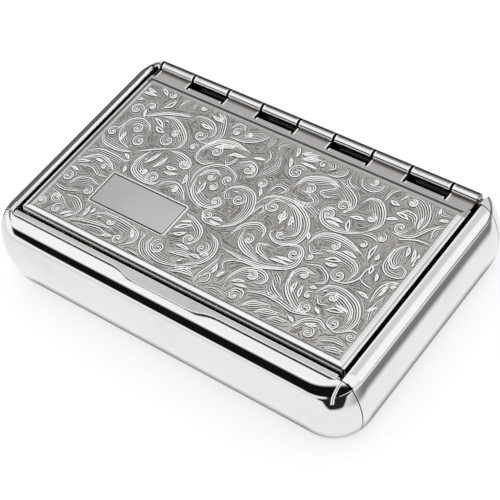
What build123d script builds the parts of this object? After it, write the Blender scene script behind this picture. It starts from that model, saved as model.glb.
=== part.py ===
"""Flat pocket cigarette case in plated sheet metal, with a hinged inset lid.

Frame: millimetres, +Z up. X runs along the hinge, -Y is the front where the thumb lifts
the lid, and the origin is the middle of the underside, so the case rests on Z = 0.
The lid is drawn shut.
"""
from build123d import *
import os
from math import atan2, cos, radians, sin

# Driving dimensions of the body
CASE_LENGTH = 112.8
CASE_DEPTH = 74.0
CASE_HEIGHT = 19.8
SHEET = 0.7
PLAN_CORNER_R = 11.0
EDGE_BULGE = 4.6
EDGE_SMALL_R = 3.6

# Driving dimensions of the lid and its opening
LID_LENGTH = 100.6
LID_FRONT_Y = -26.7
LID_BACK_Y = 26.7
LID_TOP_Z = 19.3
LID_SHEET = 0.6
LID_SKIRT = 2.7
OPENING_HALF_X = 51.3
OPENING_FRONT_Y = -28.1

# Seams between the drawn shell and the two side rails
SEAM_Y = 29.1
SEAM_GAP = 0.1
RAIL_TURN_DOWN = 4.6
RAIL_BEVEL_WIDTH = 0.55
RAIL_BEVEL_DROP = 1.05

# Front strip with its wave for the thumb
STRIP_SHEET = 0.7
STRIP_EDGE_Y = -29.6
THUMB_EDGE_Y = -31.1
THUMB_HALF_FLAT = 7.5
THUMB_HALF_WAVE = 17.0
STRIP_SEAT_Y = -31.3
STRIP_HALF_X = 50.4
SEAT_HALF_FLAT = 43.0
SLIT_X = 51.9
SLIT_WIDTH = 0.12
SLIT_FRONT_Y = -34.6

# Piano hinge
HINGE_Y = 31.1
HINGE_Z = 18.7
BARREL_R = 1.5
BORE_R = 0.9
PIN_R = 0.85
HINGE_START_X = -50.0
FIRST_KNUCKLE = 11.8
BODY_KNUCKLE = 11.8
KNUCKLE_PITCH = 23.0
BODY_KNUCKLES = 4
KNUCKLE_GAP = 0.12
LEAF_SHEET = 0.6

# Tray that lines the body
TRAY_SHEET = 0.4
TRAY_HALF_X = 48.6
TRAY_HALF_Y = 25.0
TRAY_TOP_Z = 17.2
TRAY_CORNER_R = 4.0

# Sprung bar under the lid
BAR_HALF_X = 38.0
BAR_REACH = 13.0
BAR_SHEET = 0.5
BAR_DROP = 0.25
BAR_PIVOT_Y = 8.0
BAR_PIVOT_Z = 15.9
BAR_PIN_R = 0.6
BAR_EYE_R = 1.2

HALF_LENGTH = CASE_LENGTH / 2
HALF_DEPTH = CASE_DEPTH / 2
HALF_HEIGHT = CASE_HEIGHT / 2
FLAT_HALF_X = HALF_LENGTH - EDGE_BULGE
FLAT_HALF_Y = HALF_DEPTH - EDGE_BULGE
PLAN_TURN_R = PLAN_CORNER_R - EDGE_BULGE
LID_UNDER_Z = LID_TOP_Z - LID_SHEET


def save(shape, name):
    """Writes one piece, or one group of like pieces, under its own name."""
    export_step(shape, f"parts/{name}.step")


def block(x0, x1, y0, y1, z0, z1):
    """An upright block between two corners."""
    middle = Pos((x0 + x1) / 2, (y0 + y1) / 2, (z0 + z1) / 2)
    return middle * Box(x1 - x0, y1 - y0, z1 - z0)


def rod(radius, x0, x1, y, z):
    """A round bar along X."""
    return Pos((x0 + x1) / 2, y, z) * Rot(0, 90, 0) * Cylinder(radius, x1 - x0)


def along_x(outline, x0, x1):
    """Extrudes an outline of (y, z) edges along X."""
    face = Plane.YZ * make_face(outline)
    return Pos(x0, 0, 0) * extrude(face, x1 - x0)


# The rounded edge of the body is a small arc at the top, a long flat arc down the
# side and the same small arc at the bottom, all tangent to each other.
SIDE_R = (
    (EDGE_BULGE**2 + HALF_HEIGHT**2 - 2 * HALF_HEIGHT * EDGE_SMALL_R)
    / (2 * (EDGE_BULGE - EDGE_SMALL_R))
)
BLEND_ANGLE = atan2(HALF_HEIGHT - EDGE_SMALL_R, SIDE_R - EDGE_BULGE)


def edge_section(inset):
    """Half section of the body, from the corner's turning axis out to the edge.

    On the inside, which the tray hides, each small arc is two straight folds and the
    long one three.
    """
    small = EDGE_SMALL_R - inset
    low_z = EDGE_SMALL_R
    high_z = CASE_HEIGHT - EDGE_SMALL_R
    reach = PLAN_TURN_R
    blend_x = reach + small * cos(BLEND_ANGLE)
    blend_rise = small * sin(BLEND_ANGLE)
    half_turn = (radians(90) + BLEND_ANGLE) / 2
    mid_x = reach + small * cos(half_turn)
    mid_rise = small * sin(half_turn)
    top_inner = (0, CASE_HEIGHT - inset)
    top_outer = (reach, CASE_HEIGHT - inset)
    high_blend = (blend_x, high_z + blend_rise)
    low_blend = (blend_x, low_z - blend_rise)
    bottom_outer = (reach, inset)
    bottom_inner = (0, inset)
    high_mid = (mid_x, high_z + mid_rise)
    low_mid = (mid_x, low_z - mid_rise)
    fold_x = reach + EDGE_BULGE - SIDE_R + (SIDE_R - inset) * cos(BLEND_ANGLE / 3)
    fold_rise = (SIDE_R - inset) * sin(BLEND_ANGLE / 3)
    if inset:
        edge = [Polyline(top_outer, high_mid, high_blend, (fold_x, HALF_HEIGHT + fold_rise),
                         (fold_x, HALF_HEIGHT - fold_rise), low_blend, low_mid, bottom_outer)]
    else:
        edge = [
            ThreePointArc(top_outer, high_mid, high_blend),
            ThreePointArc(high_blend, (reach + EDGE_BULGE, HALF_HEIGHT), low_blend),
            ThreePointArc(low_blend, low_mid, bottom_outer),
        ]
    flats = [
        Line(top_inner, top_outer),
        Line(bottom_outer, bottom_inner),
        Line(bottom_inner, top_inner),
    ]
    return make_face(Curve() + flats + edge)


def body_block(inset):
    """The full outer form of the case, or the hollow inside it, as one solid."""
    centre_x = FLAT_HALF_X - PLAN_TURN_R
    centre_y = FLAT_HALF_Y - PLAN_TURN_R
    section = Plane.XZ * edge_section(inset)
    solid = block(-centre_x, centre_x, -centre_y, centre_y, inset, CASE_HEIGHT - inset)
    side = extrude(section, centre_y, both=True)
    front = extrude(section, centre_x, both=True)
    for turn in (0, 180):
        solid += Rot(0, 0, turn) * Pos(centre_x, 0, 0) * side
        solid += Rot(0, 0, turn + 90) * Pos(centre_y, 0, 0) * front
    corner = revolve(section, Axis.Z, 90)
    for sign_x, sign_y, turn in ((1, 1, 0), (-1, 1, 90), (-1, -1, 180), (1, -1, 270)):
        solid += Pos(sign_x * centre_x, sign_y * centre_y, 0) * Rot(0, 0, turn) * corner
    return solid


# Behind the hinge the back wall is drawn in under the barrel on a larger round.
BACK_ROUND_TOP = (31.0, 17.0)
BACK_ROUND_MID = (34.9, 14.7)
BACK_ROUND_END = (HALF_DEPTH, HALF_HEIGHT)
BACK_ROUND_CENTRE = (29.03, 9.25)

# The hinge's upright leaf stands against the inside of that round.
BODY_LEAF_FRONT_Y = BACK_ROUND_TOP[0] - LEAF_SHEET
BODY_LEAF_LOW_Z = 8.5
BODY_LEAF_HIGH_Z = BACK_ROUND_TOP[1] - 0.1


def back_relief(inset):
    """What is taken off the top of the back wall to make room for the hinge."""
    points = []
    for y, z in (BACK_ROUND_TOP, BACK_ROUND_MID, BACK_ROUND_END):
        dy = y - BACK_ROUND_CENTRE[0]
        dz = z - BACK_ROUND_CENTRE[1]
        keep = 1 - inset / (dy**2 + dz**2) ** 0.5
        points.append((BACK_ROUND_CENTRE[0] + dy * keep, BACK_ROUND_CENTRE[1] + dz * keep))
    top, mid, end = points
    above = CASE_HEIGHT + 5
    outside = HALF_DEPTH + 5
    outline = Curve() + [
        ThreePointArc(top, mid, end),
        Line(end, (outside, end[1])),
        Line((outside, end[1]), (outside, above)),
        Line((outside, above), (top[0], above)),
        Line((top[0], above), top),
    ]
    half_x = OPENING_HALF_X + inset
    return along_x(outline, -half_x, half_x)


def rail_zone(side, gap):
    """The space of one side rail: outside the opening and between the two seams."""
    x0 = OPENING_HALF_X - gap
    x1 = HALF_LENGTH + 5
    zone = block(x0, x1, -SEAM_Y - gap, SEAM_Y + gap, -1, CASE_HEIGHT + 1)
    return zone if side > 0 else zone.mirror(Plane.YZ)


def strip_seat_plan(back_y, margin):
    """Plan of the lowered seat of the front strip. It tapers off near the corners."""
    half_x = STRIP_HALF_X + margin
    front_y = STRIP_SEAT_Y - margin
    side_y = STRIP_EDGE_Y - margin
    ease = (half_x - SEAT_HALF_FLAT) / 2
    return make_face(Curve() + [
        Line((-half_x, back_y), (-half_x, side_y)),
        Bezier((-half_x, side_y), (-half_x + ease, front_y), (-SEAT_HALF_FLAT, front_y)),
        Line((-SEAT_HALF_FLAT, front_y), (SEAT_HALF_FLAT, front_y)),
        Bezier((SEAT_HALF_FLAT, front_y), (half_x - ease, front_y), (half_x, side_y)),
        Line((half_x, side_y), (half_x, back_y)),
        Line((half_x, back_y), (-half_x, back_y)),
    ])


def make_base_shell(hollow_sheet):
    """Drawn shell: floor, round front and back walls and the four corners."""
    shell = hollow_sheet
    for side in (-1, 1):
        shell -= rail_zone(side, SEAM_GAP)
        slit_x = side * SLIT_X
        shell -= block(slit_x - SLIT_WIDTH / 2, slit_x + SLIT_WIDTH / 2, SLIT_FRONT_Y, -SEAM_Y,
                       CASE_HEIGHT - EDGE_SMALL_R, CASE_HEIGHT + 1)
    seat_top = CASE_HEIGHT - STRIP_SHEET
    above = CASE_HEIGHT + 1
    shell -= block(-OPENING_HALF_X, OPENING_HALF_X, OPENING_FRONT_Y - SHEET, BACK_ROUND_TOP[0],
                   CASE_HEIGHT / 2, above)
    shell -= Pos(0, 0, seat_top) * extrude(strip_seat_plan(0, 0.1), 2)
    seat_plan = strip_seat_plan(OPENING_FRONT_Y - STRIP_SHEET, SHEET)
    seat = Pos(0, 0, seat_top - SHEET) * extrude(seat_plan, SHEET)
    return shell + (seat & body_block(0))


def make_side_rail(hollow_sheet, side):
    """Rolled rail between two seams, its inner edge bevelled and turned down by the lid."""
    rail = hollow_sheet & rail_zone(side, 0)
    slope = Vector(RAIL_BEVEL_WIDTH, RAIL_BEVEL_DROP)
    low_end = Vector(OPENING_HALF_X, CASE_HEIGHT - RAIL_BEVEL_DROP) - slope
    high_end = low_end + slope * 3
    bevel_outline = make_face(Polyline(low_end, high_end, (low_end.X, high_end.Y), close=True))
    bevel = extrude(Plane.XZ * bevel_outline, HALF_DEPTH, both=True)
    lip = block(OPENING_HALF_X, OPENING_HALF_X + SHEET, -SEAM_Y + 0.4, SEAM_Y - 0.4,
                CASE_HEIGHT - RAIL_TURN_DOWN, CASE_HEIGHT - SHEET)
    if side < 0:
        lip = lip.mirror(Plane.YZ)
        bevel = bevel.mirror(Plane.YZ)
    return rail + lip - bevel


def make_front_strip():
    """Flat land before the lid, widened in a soft wave where the thumb goes."""
    inner_y = OPENING_FRONT_Y
    ease = (THUMB_HALF_WAVE - THUMB_HALF_FLAT) / 2
    left_end = (-STRIP_HALF_X + 0.1, inner_y)
    right_end = (STRIP_HALF_X - 0.1, inner_y)
    left_front = (left_end[0], STRIP_EDGE_Y)
    right_front = (right_end[0], STRIP_EDGE_Y)
    wave_left = (-THUMB_HALF_WAVE, STRIP_EDGE_Y)
    wave_right = (THUMB_HALF_WAVE, STRIP_EDGE_Y)
    flat_left = (-THUMB_HALF_FLAT, THUMB_EDGE_Y)
    flat_right = (THUMB_HALF_FLAT, THUMB_EDGE_Y)
    outline = Curve() + [
        Line(left_end, left_front),
        Line(left_front, wave_left),
        Bezier(wave_left, (wave_left[0] + ease, STRIP_EDGE_Y),
               (flat_left[0] - ease, THUMB_EDGE_Y), flat_left),
        Line(flat_left, flat_right),
        Bezier(flat_right, (flat_right[0] + ease, THUMB_EDGE_Y),
               (wave_right[0] - ease, STRIP_EDGE_Y), wave_right),
        Line(wave_right, right_front),
        Line(right_front, right_end),
        Line(right_end, left_end),
    ]
    land = Pos(0, 0, CASE_HEIGHT - STRIP_SHEET) * extrude(make_face(outline), STRIP_SHEET)
    turned_down = block(left_end[0], right_end[0], inner_y - STRIP_SHEET, inner_y,
                        CASE_HEIGHT - RAIL_TURN_DOWN, CASE_HEIGHT - STRIP_SHEET)
    strip = land + turned_down
    crease = strip.edges().filter_by(Axis.X).filter_by_position(
        Axis.Y, inner_y - 0.01, inner_y + 0.01).sort_by(Axis.Z)[-1]
    return fillet(crease, 0.35)


def tray_pan(grow):
    """Plan of the tray, grown outwards by an amount, as a face on the floor."""
    return RectangleRounded(2 * (TRAY_HALF_X + grow), 2 * (TRAY_HALF_Y + grow),
                            TRAY_CORNER_R + grow)


CATCH_RIVET_X = 7.0
CATCH_RIVET_Z = 9.5
RIVET_SHANK_R = 0.6
RIVET_HEAD_R = 1.1
RIVET_HEAD = 0.35
RIVET_RIM = 0.15
RIVET_SIDES = 12
TRAY_FLOOR_BEND = 1.0
TRAY_FLANGE_DROP = 0.4


def stud(radius, height):
    """A small upright stud in twelve flats, as large as it needs to be at this size."""
    plan = RegularPolygon(radius, RIVET_SIDES)
    return Pos(0, 0, -height / 2) * extrude(plan, height)


def make_tray_liner():
    """Open tray drawn from thin sheet, its back rim turned out to the hinge leaf."""
    floor_z = SHEET
    height = TRAY_TOP_Z - floor_z
    outer = Pos(0, 0, floor_z) * extrude(tray_pan(0), height)
    inner = Pos(0, 0, floor_z + TRAY_SHEET) * extrude(tray_pan(-TRAY_SHEET), height)
    outer = chamfer(outer.edges().group_by(Axis.Z)[0], TRAY_FLOOR_BEND)
    inner = chamfer(inner.edges().group_by(Axis.Z)[0], TRAY_FLOOR_BEND - TRAY_SHEET / 2)
    tray = outer - inner
    flange_z = TRAY_TOP_Z - TRAY_FLANGE_DROP
    tray += block(-TRAY_HALF_X + TRAY_CORNER_R, TRAY_HALF_X - TRAY_CORNER_R,
                  TRAY_HALF_Y - TRAY_SHEET, BODY_LEAF_FRONT_Y, flange_z - TRAY_SHEET, flange_z)
    for x in (-CATCH_RIVET_X, CATCH_RIVET_X):
        tray -= Pos(x, -TRAY_HALF_Y, CATCH_RIVET_Z) * Rot(90, 0, 0) * stud(RIVET_SHANK_R, 3)
    return tray


CATCH_HALF_X = 11.0
CATCH_SHEET = 0.25
CATCH_LOW_Z = 7.5
CATCH_BEND_Z = 15.2
CATCH_HIGH_Z = 17.5
CATCH_NOSE = 0.62
TONGUE_HALF_X = 9.0
TONGUE_LOW_Z = 15.2
TONGUE_HIGH_Z = 18.3
TONGUE_HOOK = 0.15


def make_catch_spring():
    """Leaf spring on the tray's front wall. Its bowed nose snaps in above the lid's hook."""
    back = -TRAY_HALF_Y
    face = back - CATCH_SHEET
    nose = back - CATCH_NOSE
    nose_z = (CATCH_BEND_Z + CATCH_HIGH_Z) / 2
    path = Curve() + [
        Line((back, CATCH_LOW_Z), (back, CATCH_BEND_Z)),
        ThreePointArc((back, CATCH_BEND_Z), (nose + CATCH_SHEET, nose_z), (back, CATCH_HIGH_Z)),
        Line((back, CATCH_HIGH_Z), (face, CATCH_HIGH_Z)),
        ThreePointArc((face, CATCH_HIGH_Z), (nose, nose_z), (face, CATCH_BEND_Z)),
        Line((face, CATCH_BEND_Z), (face, CATCH_LOW_Z)),
        Line((face, CATCH_LOW_Z), (back, CATCH_LOW_Z)),
    ]
    spring = along_x(path, -CATCH_HALF_X, CATCH_HALF_X)
    for x in (-CATCH_RIVET_X, CATCH_RIVET_X):
        spring -= Pos(x, back, CATCH_RIVET_Z) * Rot(90, 0, 0) * stud(RIVET_SHANK_R, 3)
    return spring


def make_catch_tongue():
    """Tongue soldered inside the lid's front skirt, with a rolled hook at its lower end."""
    outer_y = LID_FRONT_Y + LID_SHEET
    inner_y = outer_y + CATCH_SHEET
    hook_y = inner_y + TONGUE_HOOK
    hook_top = TONGUE_LOW_Z + 3 * TONGUE_HOOK
    outline = Curve() + [
        Line((outer_y, TONGUE_LOW_Z), (outer_y, TONGUE_HIGH_Z)),
        Line((outer_y, TONGUE_HIGH_Z), (inner_y, TONGUE_HIGH_Z)),
        Line((inner_y, TONGUE_HIGH_Z), (inner_y, hook_top)),
        ThreePointArc((inner_y, hook_top), (hook_y, (hook_top + TONGUE_LOW_Z) / 2),
                      (inner_y, TONGUE_LOW_Z)),
        Line((inner_y, TONGUE_LOW_Z), (outer_y, TONGUE_LOW_Z)),
    ]
    return along_x(outline, -TONGUE_HALF_X, TONGUE_HALF_X)


def rivet(grip):
    """A small solid rivet along Z, head down at zero and closed over the grip."""
    head = Pos(0, 0, -RIVET_HEAD / 2) * stud(RIVET_HEAD_R, RIVET_HEAD)
    closed = Pos(0, 0, grip + RIVET_HEAD / 2) * stud(RIVET_HEAD_R, RIVET_HEAD)
    shank = Pos(0, 0, grip / 2) * stud(RIVET_SHANK_R, grip)
    head = chamfer(head.edges().group_by(Axis.Z)[0], RIVET_RIM)
    closed = chamfer(closed.edges().group_by(Axis.Z)[-1], RIVET_RIM)
    return head + shank + closed


def make_catch_rivets():
    """Two rivets that hold the catch spring on the tray's front wall."""
    one = Rot(90, 0, 0) * rivet(TRAY_SHEET + CATCH_SHEET)
    y = -TRAY_HALF_Y + TRAY_SHEET
    return [Pos(x, y, CATCH_RIVET_Z) * one for x in (-CATCH_RIVET_X, CATCH_RIVET_X)]


def body_knuckle_spans():
    """Start and end of each knuckle that belongs to the body."""
    first = HINGE_START_X + FIRST_KNUCKLE
    starts = [first + i * KNUCKLE_PITCH for i in range(BODY_KNUCKLES)]
    return [(start, start + BODY_KNUCKLE) for start in starts]


def lid_knuckle_spans():
    """The spans between and outside the body's knuckles."""
    edges = [HINGE_START_X]
    for start, end in body_knuckle_spans():
        edges += [start, end]
    edges.append(-HINGE_START_X)
    return [(edges[i], edges[i + 1]) for i in range(0, len(edges), 2)]


def knuckle(x0, x1, tail):
    """One rolled knuckle: the sheet's tail and its barrel, bored for the pin."""
    barrel = rod(BARREL_R, x0 + KNUCKLE_GAP, x1 - KNUCKLE_GAP, HINGE_Y, HINGE_Z)
    bore = rod(BORE_R, x0 - 1, x1 + 1, HINGE_Y, HINGE_Z)
    return (barrel + tail) - bore


def make_body_hinge_leaf():
    """Upright leaf inside the back wall, with the knuckles that stay still."""
    back_y = BACK_ROUND_TOP[0]
    leaf = block(HINGE_START_X, -HINGE_START_X, BODY_LEAF_FRONT_Y, back_y,
                 BODY_LEAF_LOW_Z, BODY_LEAF_HIGH_Z)
    for x0, x1 in body_knuckle_spans():
        tail = block(x0 + KNUCKLE_GAP, x1 - KNUCKLE_GAP, BODY_LEAF_FRONT_Y, back_y,
                     BODY_LEAF_HIGH_Z - 1, HINGE_Z)
        leaf += knuckle(x0, x1, tail)
    return leaf


LEAF_HALF_X = 49.2
LEAF_FRONT_Y = 20.0
LEAF_NOTCH_Y = 27.6
LEAF_STEP = 0.3


def make_lid_hinge_leaf():
    """Leaf under the lid plate, notched so that the body's knuckles stand clear."""
    low = LID_UNDER_Z - LEAF_SHEET
    leaf = block(-LEAF_HALF_X, LEAF_HALF_X, LEAF_FRONT_Y, LEAF_NOTCH_Y, low, LID_UNDER_Z)
    leaf += block(-LEAF_HALF_X, LEAF_HALF_X, LID_BACK_Y + 0.02, LEAF_NOTCH_Y,
                  low, LID_UNDER_Z + LEAF_STEP)
    for x0, x1 in lid_knuckle_spans():
        tail = block(x0 + KNUCKLE_GAP, x1 - KNUCKLE_GAP, LEAF_NOTCH_Y - 0.5, HINGE_Y,
                     low + 0.1, LID_UNDER_Z + LEAF_STEP)
        leaf += knuckle(x0, x1, tail)
    return leaf


def make_hinge_pin():
    """Straight wire through all the knuckles, its ends a little broken."""
    end_x = 0.2 - HINGE_START_X
    pin = rod(PIN_R, -end_x, end_x, HINGE_Y, HINGE_Z)
    return chamfer(pin.edges().filter_by(GeomType.CIRCLE), 0.2)


def make_lid_plate():
    """Flat lid with a skirt turned down along its front and both ends."""
    half_x = LID_LENGTH / 2
    low = LID_TOP_Z - LID_SKIRT
    outer = block(-half_x, half_x, LID_FRONT_Y, LID_BACK_Y, low, LID_TOP_Z)
    front_corners = outer.edges().filter_by(Axis.Z).group_by(Axis.Y)[0]
    outer = fillet(front_corners, 1.0)
    rim = outer.faces().sort_by(Axis.Z)[-1].edges()
    rim = rim.filter_by_position(Axis.Y, LID_FRONT_Y - 0.1, LID_BACK_Y - 0.1)
    outer = fillet(rim, 0.5)
    inner = block(-half_x + LID_SHEET, half_x - LID_SHEET, LID_FRONT_Y + LID_SHEET,
                  LID_BACK_Y + 1, low - 1, LID_UNDER_Z)
    return outer - inner


LINER_SHEET = 0.4
LINER_UNDER_Z = 17.7
LINER_HALF_X = 49.0
LINER_FRONT_Y = -25.6
LINER_BACK_Y = 19.6


def make_lid_liner():
    """Shallow pan soldered under the plate, which covers the back of the engraving."""
    plan = Pos(0, (LINER_FRONT_Y + LINER_BACK_Y) / 2, 0) * RectangleRounded(
        2 * LINER_HALF_X, LINER_BACK_Y - LINER_FRONT_Y, 1.5)
    pan = Pos(0, 0, LINER_UNDER_Z) * extrude(plan, LID_UNDER_Z - LINER_UNDER_Z)
    hollow_plan = offset(plan, -LINER_SHEET)
    hollow = Pos(0, 0, LINER_UNDER_Z + LINER_SHEET) * extrude(hollow_plan, LID_SHEET * 2)
    liner = pan - hollow
    for x, y in bracket_rivet_places():
        liner -= Pos(x, y, LINER_UNDER_Z) * stud(RIVET_SHANK_R, 3)
    return liner


BRACKET_X = 30.0
BRACKET_HALF_X = 3.0
BRACKET_SHEET = 0.5
BRACKET_RIVET_Y = 13.0
BRACKET_FOOT_FRONT_Y = BAR_PIVOT_Y + 1.6
BRACKET_FOOT_BACK_Y = BRACKET_RIVET_Y + 2.4
EAR_R = 1.1
EAR_DEPTH = 3.4


def bracket_rivet_places():
    """Where the two brackets are riveted to the liner."""
    return [(-BRACKET_X, BRACKET_RIVET_Y), (BRACKET_X, BRACKET_RIVET_Y)]


def make_bar_bracket(side):
    """Small angle bracket: a foot on the liner and two ears that hold the pin."""
    x = side * BRACKET_X
    foot = block(x - BRACKET_HALF_X, x + BRACKET_HALF_X, BRACKET_FOOT_FRONT_Y,
                 BRACKET_FOOT_BACK_Y, LINER_UNDER_Z - BRACKET_SHEET, LINER_UNDER_Z)
    foot = fillet(foot.edges().filter_by(Axis.Z).group_by(Axis.Y)[-1], 1.5)
    bracket = foot - Pos(x, BRACKET_RIVET_Y, LINER_UNDER_Z) * stud(RIVET_SHANK_R, 3)
    for ear_x in (x - BRACKET_HALF_X, x + BRACKET_HALF_X - BRACKET_SHEET):
        ear_end = ear_x + BRACKET_SHEET
        bracket += block(ear_x, ear_end, BAR_PIVOT_Y, BAR_PIVOT_Y + EAR_DEPTH,
                         BAR_PIVOT_Z - EAR_R, LINER_UNDER_Z)
        bracket += rod(EAR_R, ear_x, ear_end, BAR_PIVOT_Y, BAR_PIVOT_Z)
    return bracket - rod(BAR_PIN_R + 0.02, x - 5, x + 5, BAR_PIVOT_Y, BAR_PIVOT_Z)


def make_bracket_rivets():
    """One rivet through the foot of each bracket and the liner."""
    one = Rot(180, 0, 0) * rivet(LINER_SHEET + BRACKET_SHEET)
    z = LINER_UNDER_Z + LINER_SHEET
    return [Pos(x, y, z) * one for x, y in bracket_rivet_places()]


def make_bar_pin():
    """Wire that carries the bar, held in the ears of the brackets."""
    end_x = BRACKET_X + BRACKET_HALF_X + 0.8
    pin = rod(BAR_PIN_R, -end_x, end_x, BAR_PIVOT_Y, BAR_PIVOT_Z)
    return chamfer(pin.edges().filter_by(GeomType.CIRCLE), 0.2)


BAR_CORNER_R = 2.5
BAR_BEAD_R = 0.55
EYE_SPAN = (8.0, 26.0)


def make_retaining_bar():
    """Sprung bar under the lid: a strip with a beaded edge and rolled eyes on the pin."""
    top = LINER_UNDER_Z - BAR_DROP
    under = top - BAR_SHEET
    front_y = BAR_PIVOT_Y - BAR_REACH
    back_y = BAR_PIVOT_Y - 1.6
    bend_y = BAR_PIVOT_Y - 2.2
    bar = block(-BAR_HALF_X, BAR_HALF_X, front_y, back_y, under, top)
    bar = fillet(bar.edges().filter_by(Axis.Z).group_by(Axis.Y)[0], BAR_CORNER_R)
    bar += rod(BAR_BEAD_R, -BAR_HALF_X + BAR_CORNER_R, BAR_HALF_X - BAR_CORNER_R,
               front_y + BAR_BEAD_R / 2, top - BAR_BEAD_R)
    tail = Curve() + Polyline(
        (bend_y, top),
        (bend_y, under),
        (BAR_PIVOT_Y - 0.6, BAR_PIVOT_Z + 0.4),
        (BAR_PIVOT_Y + 0.3, BAR_PIVOT_Z + 1.1),
        (back_y, top),
        (bend_y, top),
    )
    start, end = EYE_SPAN
    for x0, x1 in ((-end, -start), (start, end)):
        bar += rod(BAR_EYE_R, x0, x1, BAR_PIVOT_Y, BAR_PIVOT_Z) + along_x(tail, x0, x1)
        bar -= rod(BAR_PIN_R + 0.05, x0 - 1, x1 + 1, BAR_PIVOT_Y, BAR_PIVOT_Z)
    return bar


SPRING_WIRE_R = 0.17
SPRING_TURNS = 2.875
SPRING_PITCH = 1.37
SPRING_WIRE_SIDES = 4
SPRING_LONG_LEG = 6.0
SPRING_SHORT_LEG = 1.25


def make_bar_spring(side):
    """Torsion spring on the pin. Its long leg lifts the bar, its short one meets the liner."""
    coil_r = LINER_UNDER_Z - BAR_DROP - BAR_SHEET - SPRING_WIRE_R - BAR_PIVOT_Z
    length = SPRING_TURNS * SPRING_PITCH
    coil = Helix(SPRING_PITCH, length, coil_r)
    section = RegularPolygon(SPRING_WIRE_R, SPRING_WIRE_SIDES)
    start_face = Plane(coil @ 0, z_dir=coil % 0) * section
    end_face = Plane(coil @ 1, z_dir=coil % 1) * section
    spring = sweep(start_face, path=coil, is_frenet=True)
    spring += extrude(start_face, -SPRING_LONG_LEG)
    spring += extrude(end_face, SPRING_SHORT_LEG)
    start_x = side * BRACKET_X + length / 2
    return Pos(start_x, BAR_PIVOT_Y, BAR_PIVOT_Z) * Rot(0, -90, 0) * spring


def main():
    os.makedirs("parts", exist_ok=True)
    outside = body_block(0) - back_relief(0)
    inside = body_block(SHEET) - back_relief(SHEET)
    hollow_sheet = outside - inside
    save(make_base_shell(hollow_sheet), "base_shell")
    for side, name in ((-1, "left"), (1, "right")):
        save(make_side_rail(hollow_sheet, side), f"{name}_side_rail")
    save(make_front_strip(), "front_strip")
    save(make_tray_liner(), "tray_liner")
    save(make_catch_spring(), "catch_spring")
    save(Compound(make_catch_rivets()), "catch_rivets")
    save(make_body_hinge_leaf(), "body_hinge_leaf")
    save(make_hinge_pin(), "hinge_pin")
    save(make_lid_hinge_leaf(), "lid_hinge_leaf")
    save(make_lid_plate(), "lid_plate")
    save(make_lid_liner(), "lid_liner")
    save(make_catch_tongue(), "catch_tongue")
    for side, name in ((-1, "left"), (1, "right")):
        save(make_bar_bracket(side), f"{name}_bar_bracket")
        save(make_bar_spring(side), f"{name}_bar_spring")
    save(Compound(make_bracket_rivets()), "bracket_rivets")
    save(make_bar_pin(), "bar_pin")
    save(make_retaining_bar(), "retaining_bar")


main()
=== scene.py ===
import bmesh
import bpy
from math import atan2, cos, pi, radians, sin
from mathutils import Matrix, Vector
from mathutils.kdtree import KDTree


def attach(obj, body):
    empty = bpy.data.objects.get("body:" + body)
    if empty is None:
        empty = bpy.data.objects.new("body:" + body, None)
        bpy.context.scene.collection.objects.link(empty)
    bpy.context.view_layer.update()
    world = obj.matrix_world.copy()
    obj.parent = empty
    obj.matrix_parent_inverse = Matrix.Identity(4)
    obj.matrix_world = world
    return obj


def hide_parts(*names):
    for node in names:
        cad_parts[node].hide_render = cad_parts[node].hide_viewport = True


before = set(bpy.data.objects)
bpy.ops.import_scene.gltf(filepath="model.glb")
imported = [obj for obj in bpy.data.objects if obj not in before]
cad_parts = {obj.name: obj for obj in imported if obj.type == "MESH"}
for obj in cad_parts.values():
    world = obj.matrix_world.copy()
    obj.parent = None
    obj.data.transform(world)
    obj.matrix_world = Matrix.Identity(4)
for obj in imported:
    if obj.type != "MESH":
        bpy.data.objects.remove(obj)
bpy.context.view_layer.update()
MM = 0.001

# Studio. A white table under the case, a large softbox overhead, in front and to the right,
# a dim corner at the back left, and black cards low by the front edge and the front right
# corner. Polished plate mirrors them, so their tones are drawn for mirror rays only.
SOFTBOX = 1.05
BLACK = 0.02


class Wire:
    """A shader socket that can be written in sums. Numbers and sockets mix freely."""

    def __init__(self, tree, socket):
        self.tree = tree
        self.socket = socket

    def math(self, operation, *values):
        node = self.tree.nodes.new("ShaderNodeMath")
        node.operation = operation
        for place, value in zip(node.inputs, values):
            if isinstance(value, Wire):
                self.tree.links.new(value.socket, place)
            else:
                place.default_value = value
        return Wire(self.tree, node.outputs[0])

    def __add__(self, other):
        return self.math("ADD", self, other)

    def __radd__(self, other):
        return self.math("ADD", other, self)

    def __sub__(self, other):
        return self.math("SUBTRACT", self, other)

    def __rsub__(self, other):
        return self.math("SUBTRACT", other, self)

    def __mul__(self, other):
        return self.math("MULTIPLY", self, other)

    def __rmul__(self, other):
        return self.math("MULTIPLY", other, self)

    def towards(self, other, share):
        """This value, moved to another one by a share of the way."""
        return self + share * (other - self)

    def most(self, other):
        return self.math("MAXIMUM", self, other)

    def size(self):
        return self.math("ABSOLUTE", self)

    def ripple(self):
        return self.math("SINE", self)

    def step(self, low, high, low_value=0.0, high_value=1.0):
        """Smooth change from one value to another as this one goes from low to high."""
        node = self.tree.nodes.new("ShaderNodeMapRange")
        node.interpolation_type = "SMOOTHSTEP"
        self.tree.links.new(self.socket, node.inputs["Value"])
        node.inputs["From Min"].default_value = low
        node.inputs["From Max"].default_value = high
        node.inputs["To Min"].default_value = low_value
        node.inputs["To Max"].default_value = high_value
        return Wire(self.tree, node.outputs["Result"])

    def line_at(self, place, outer, inner):
        """A thin line where this value is near a place, faded out from inner to outer."""
        return (self - place).size().step(outer, inner)


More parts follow.
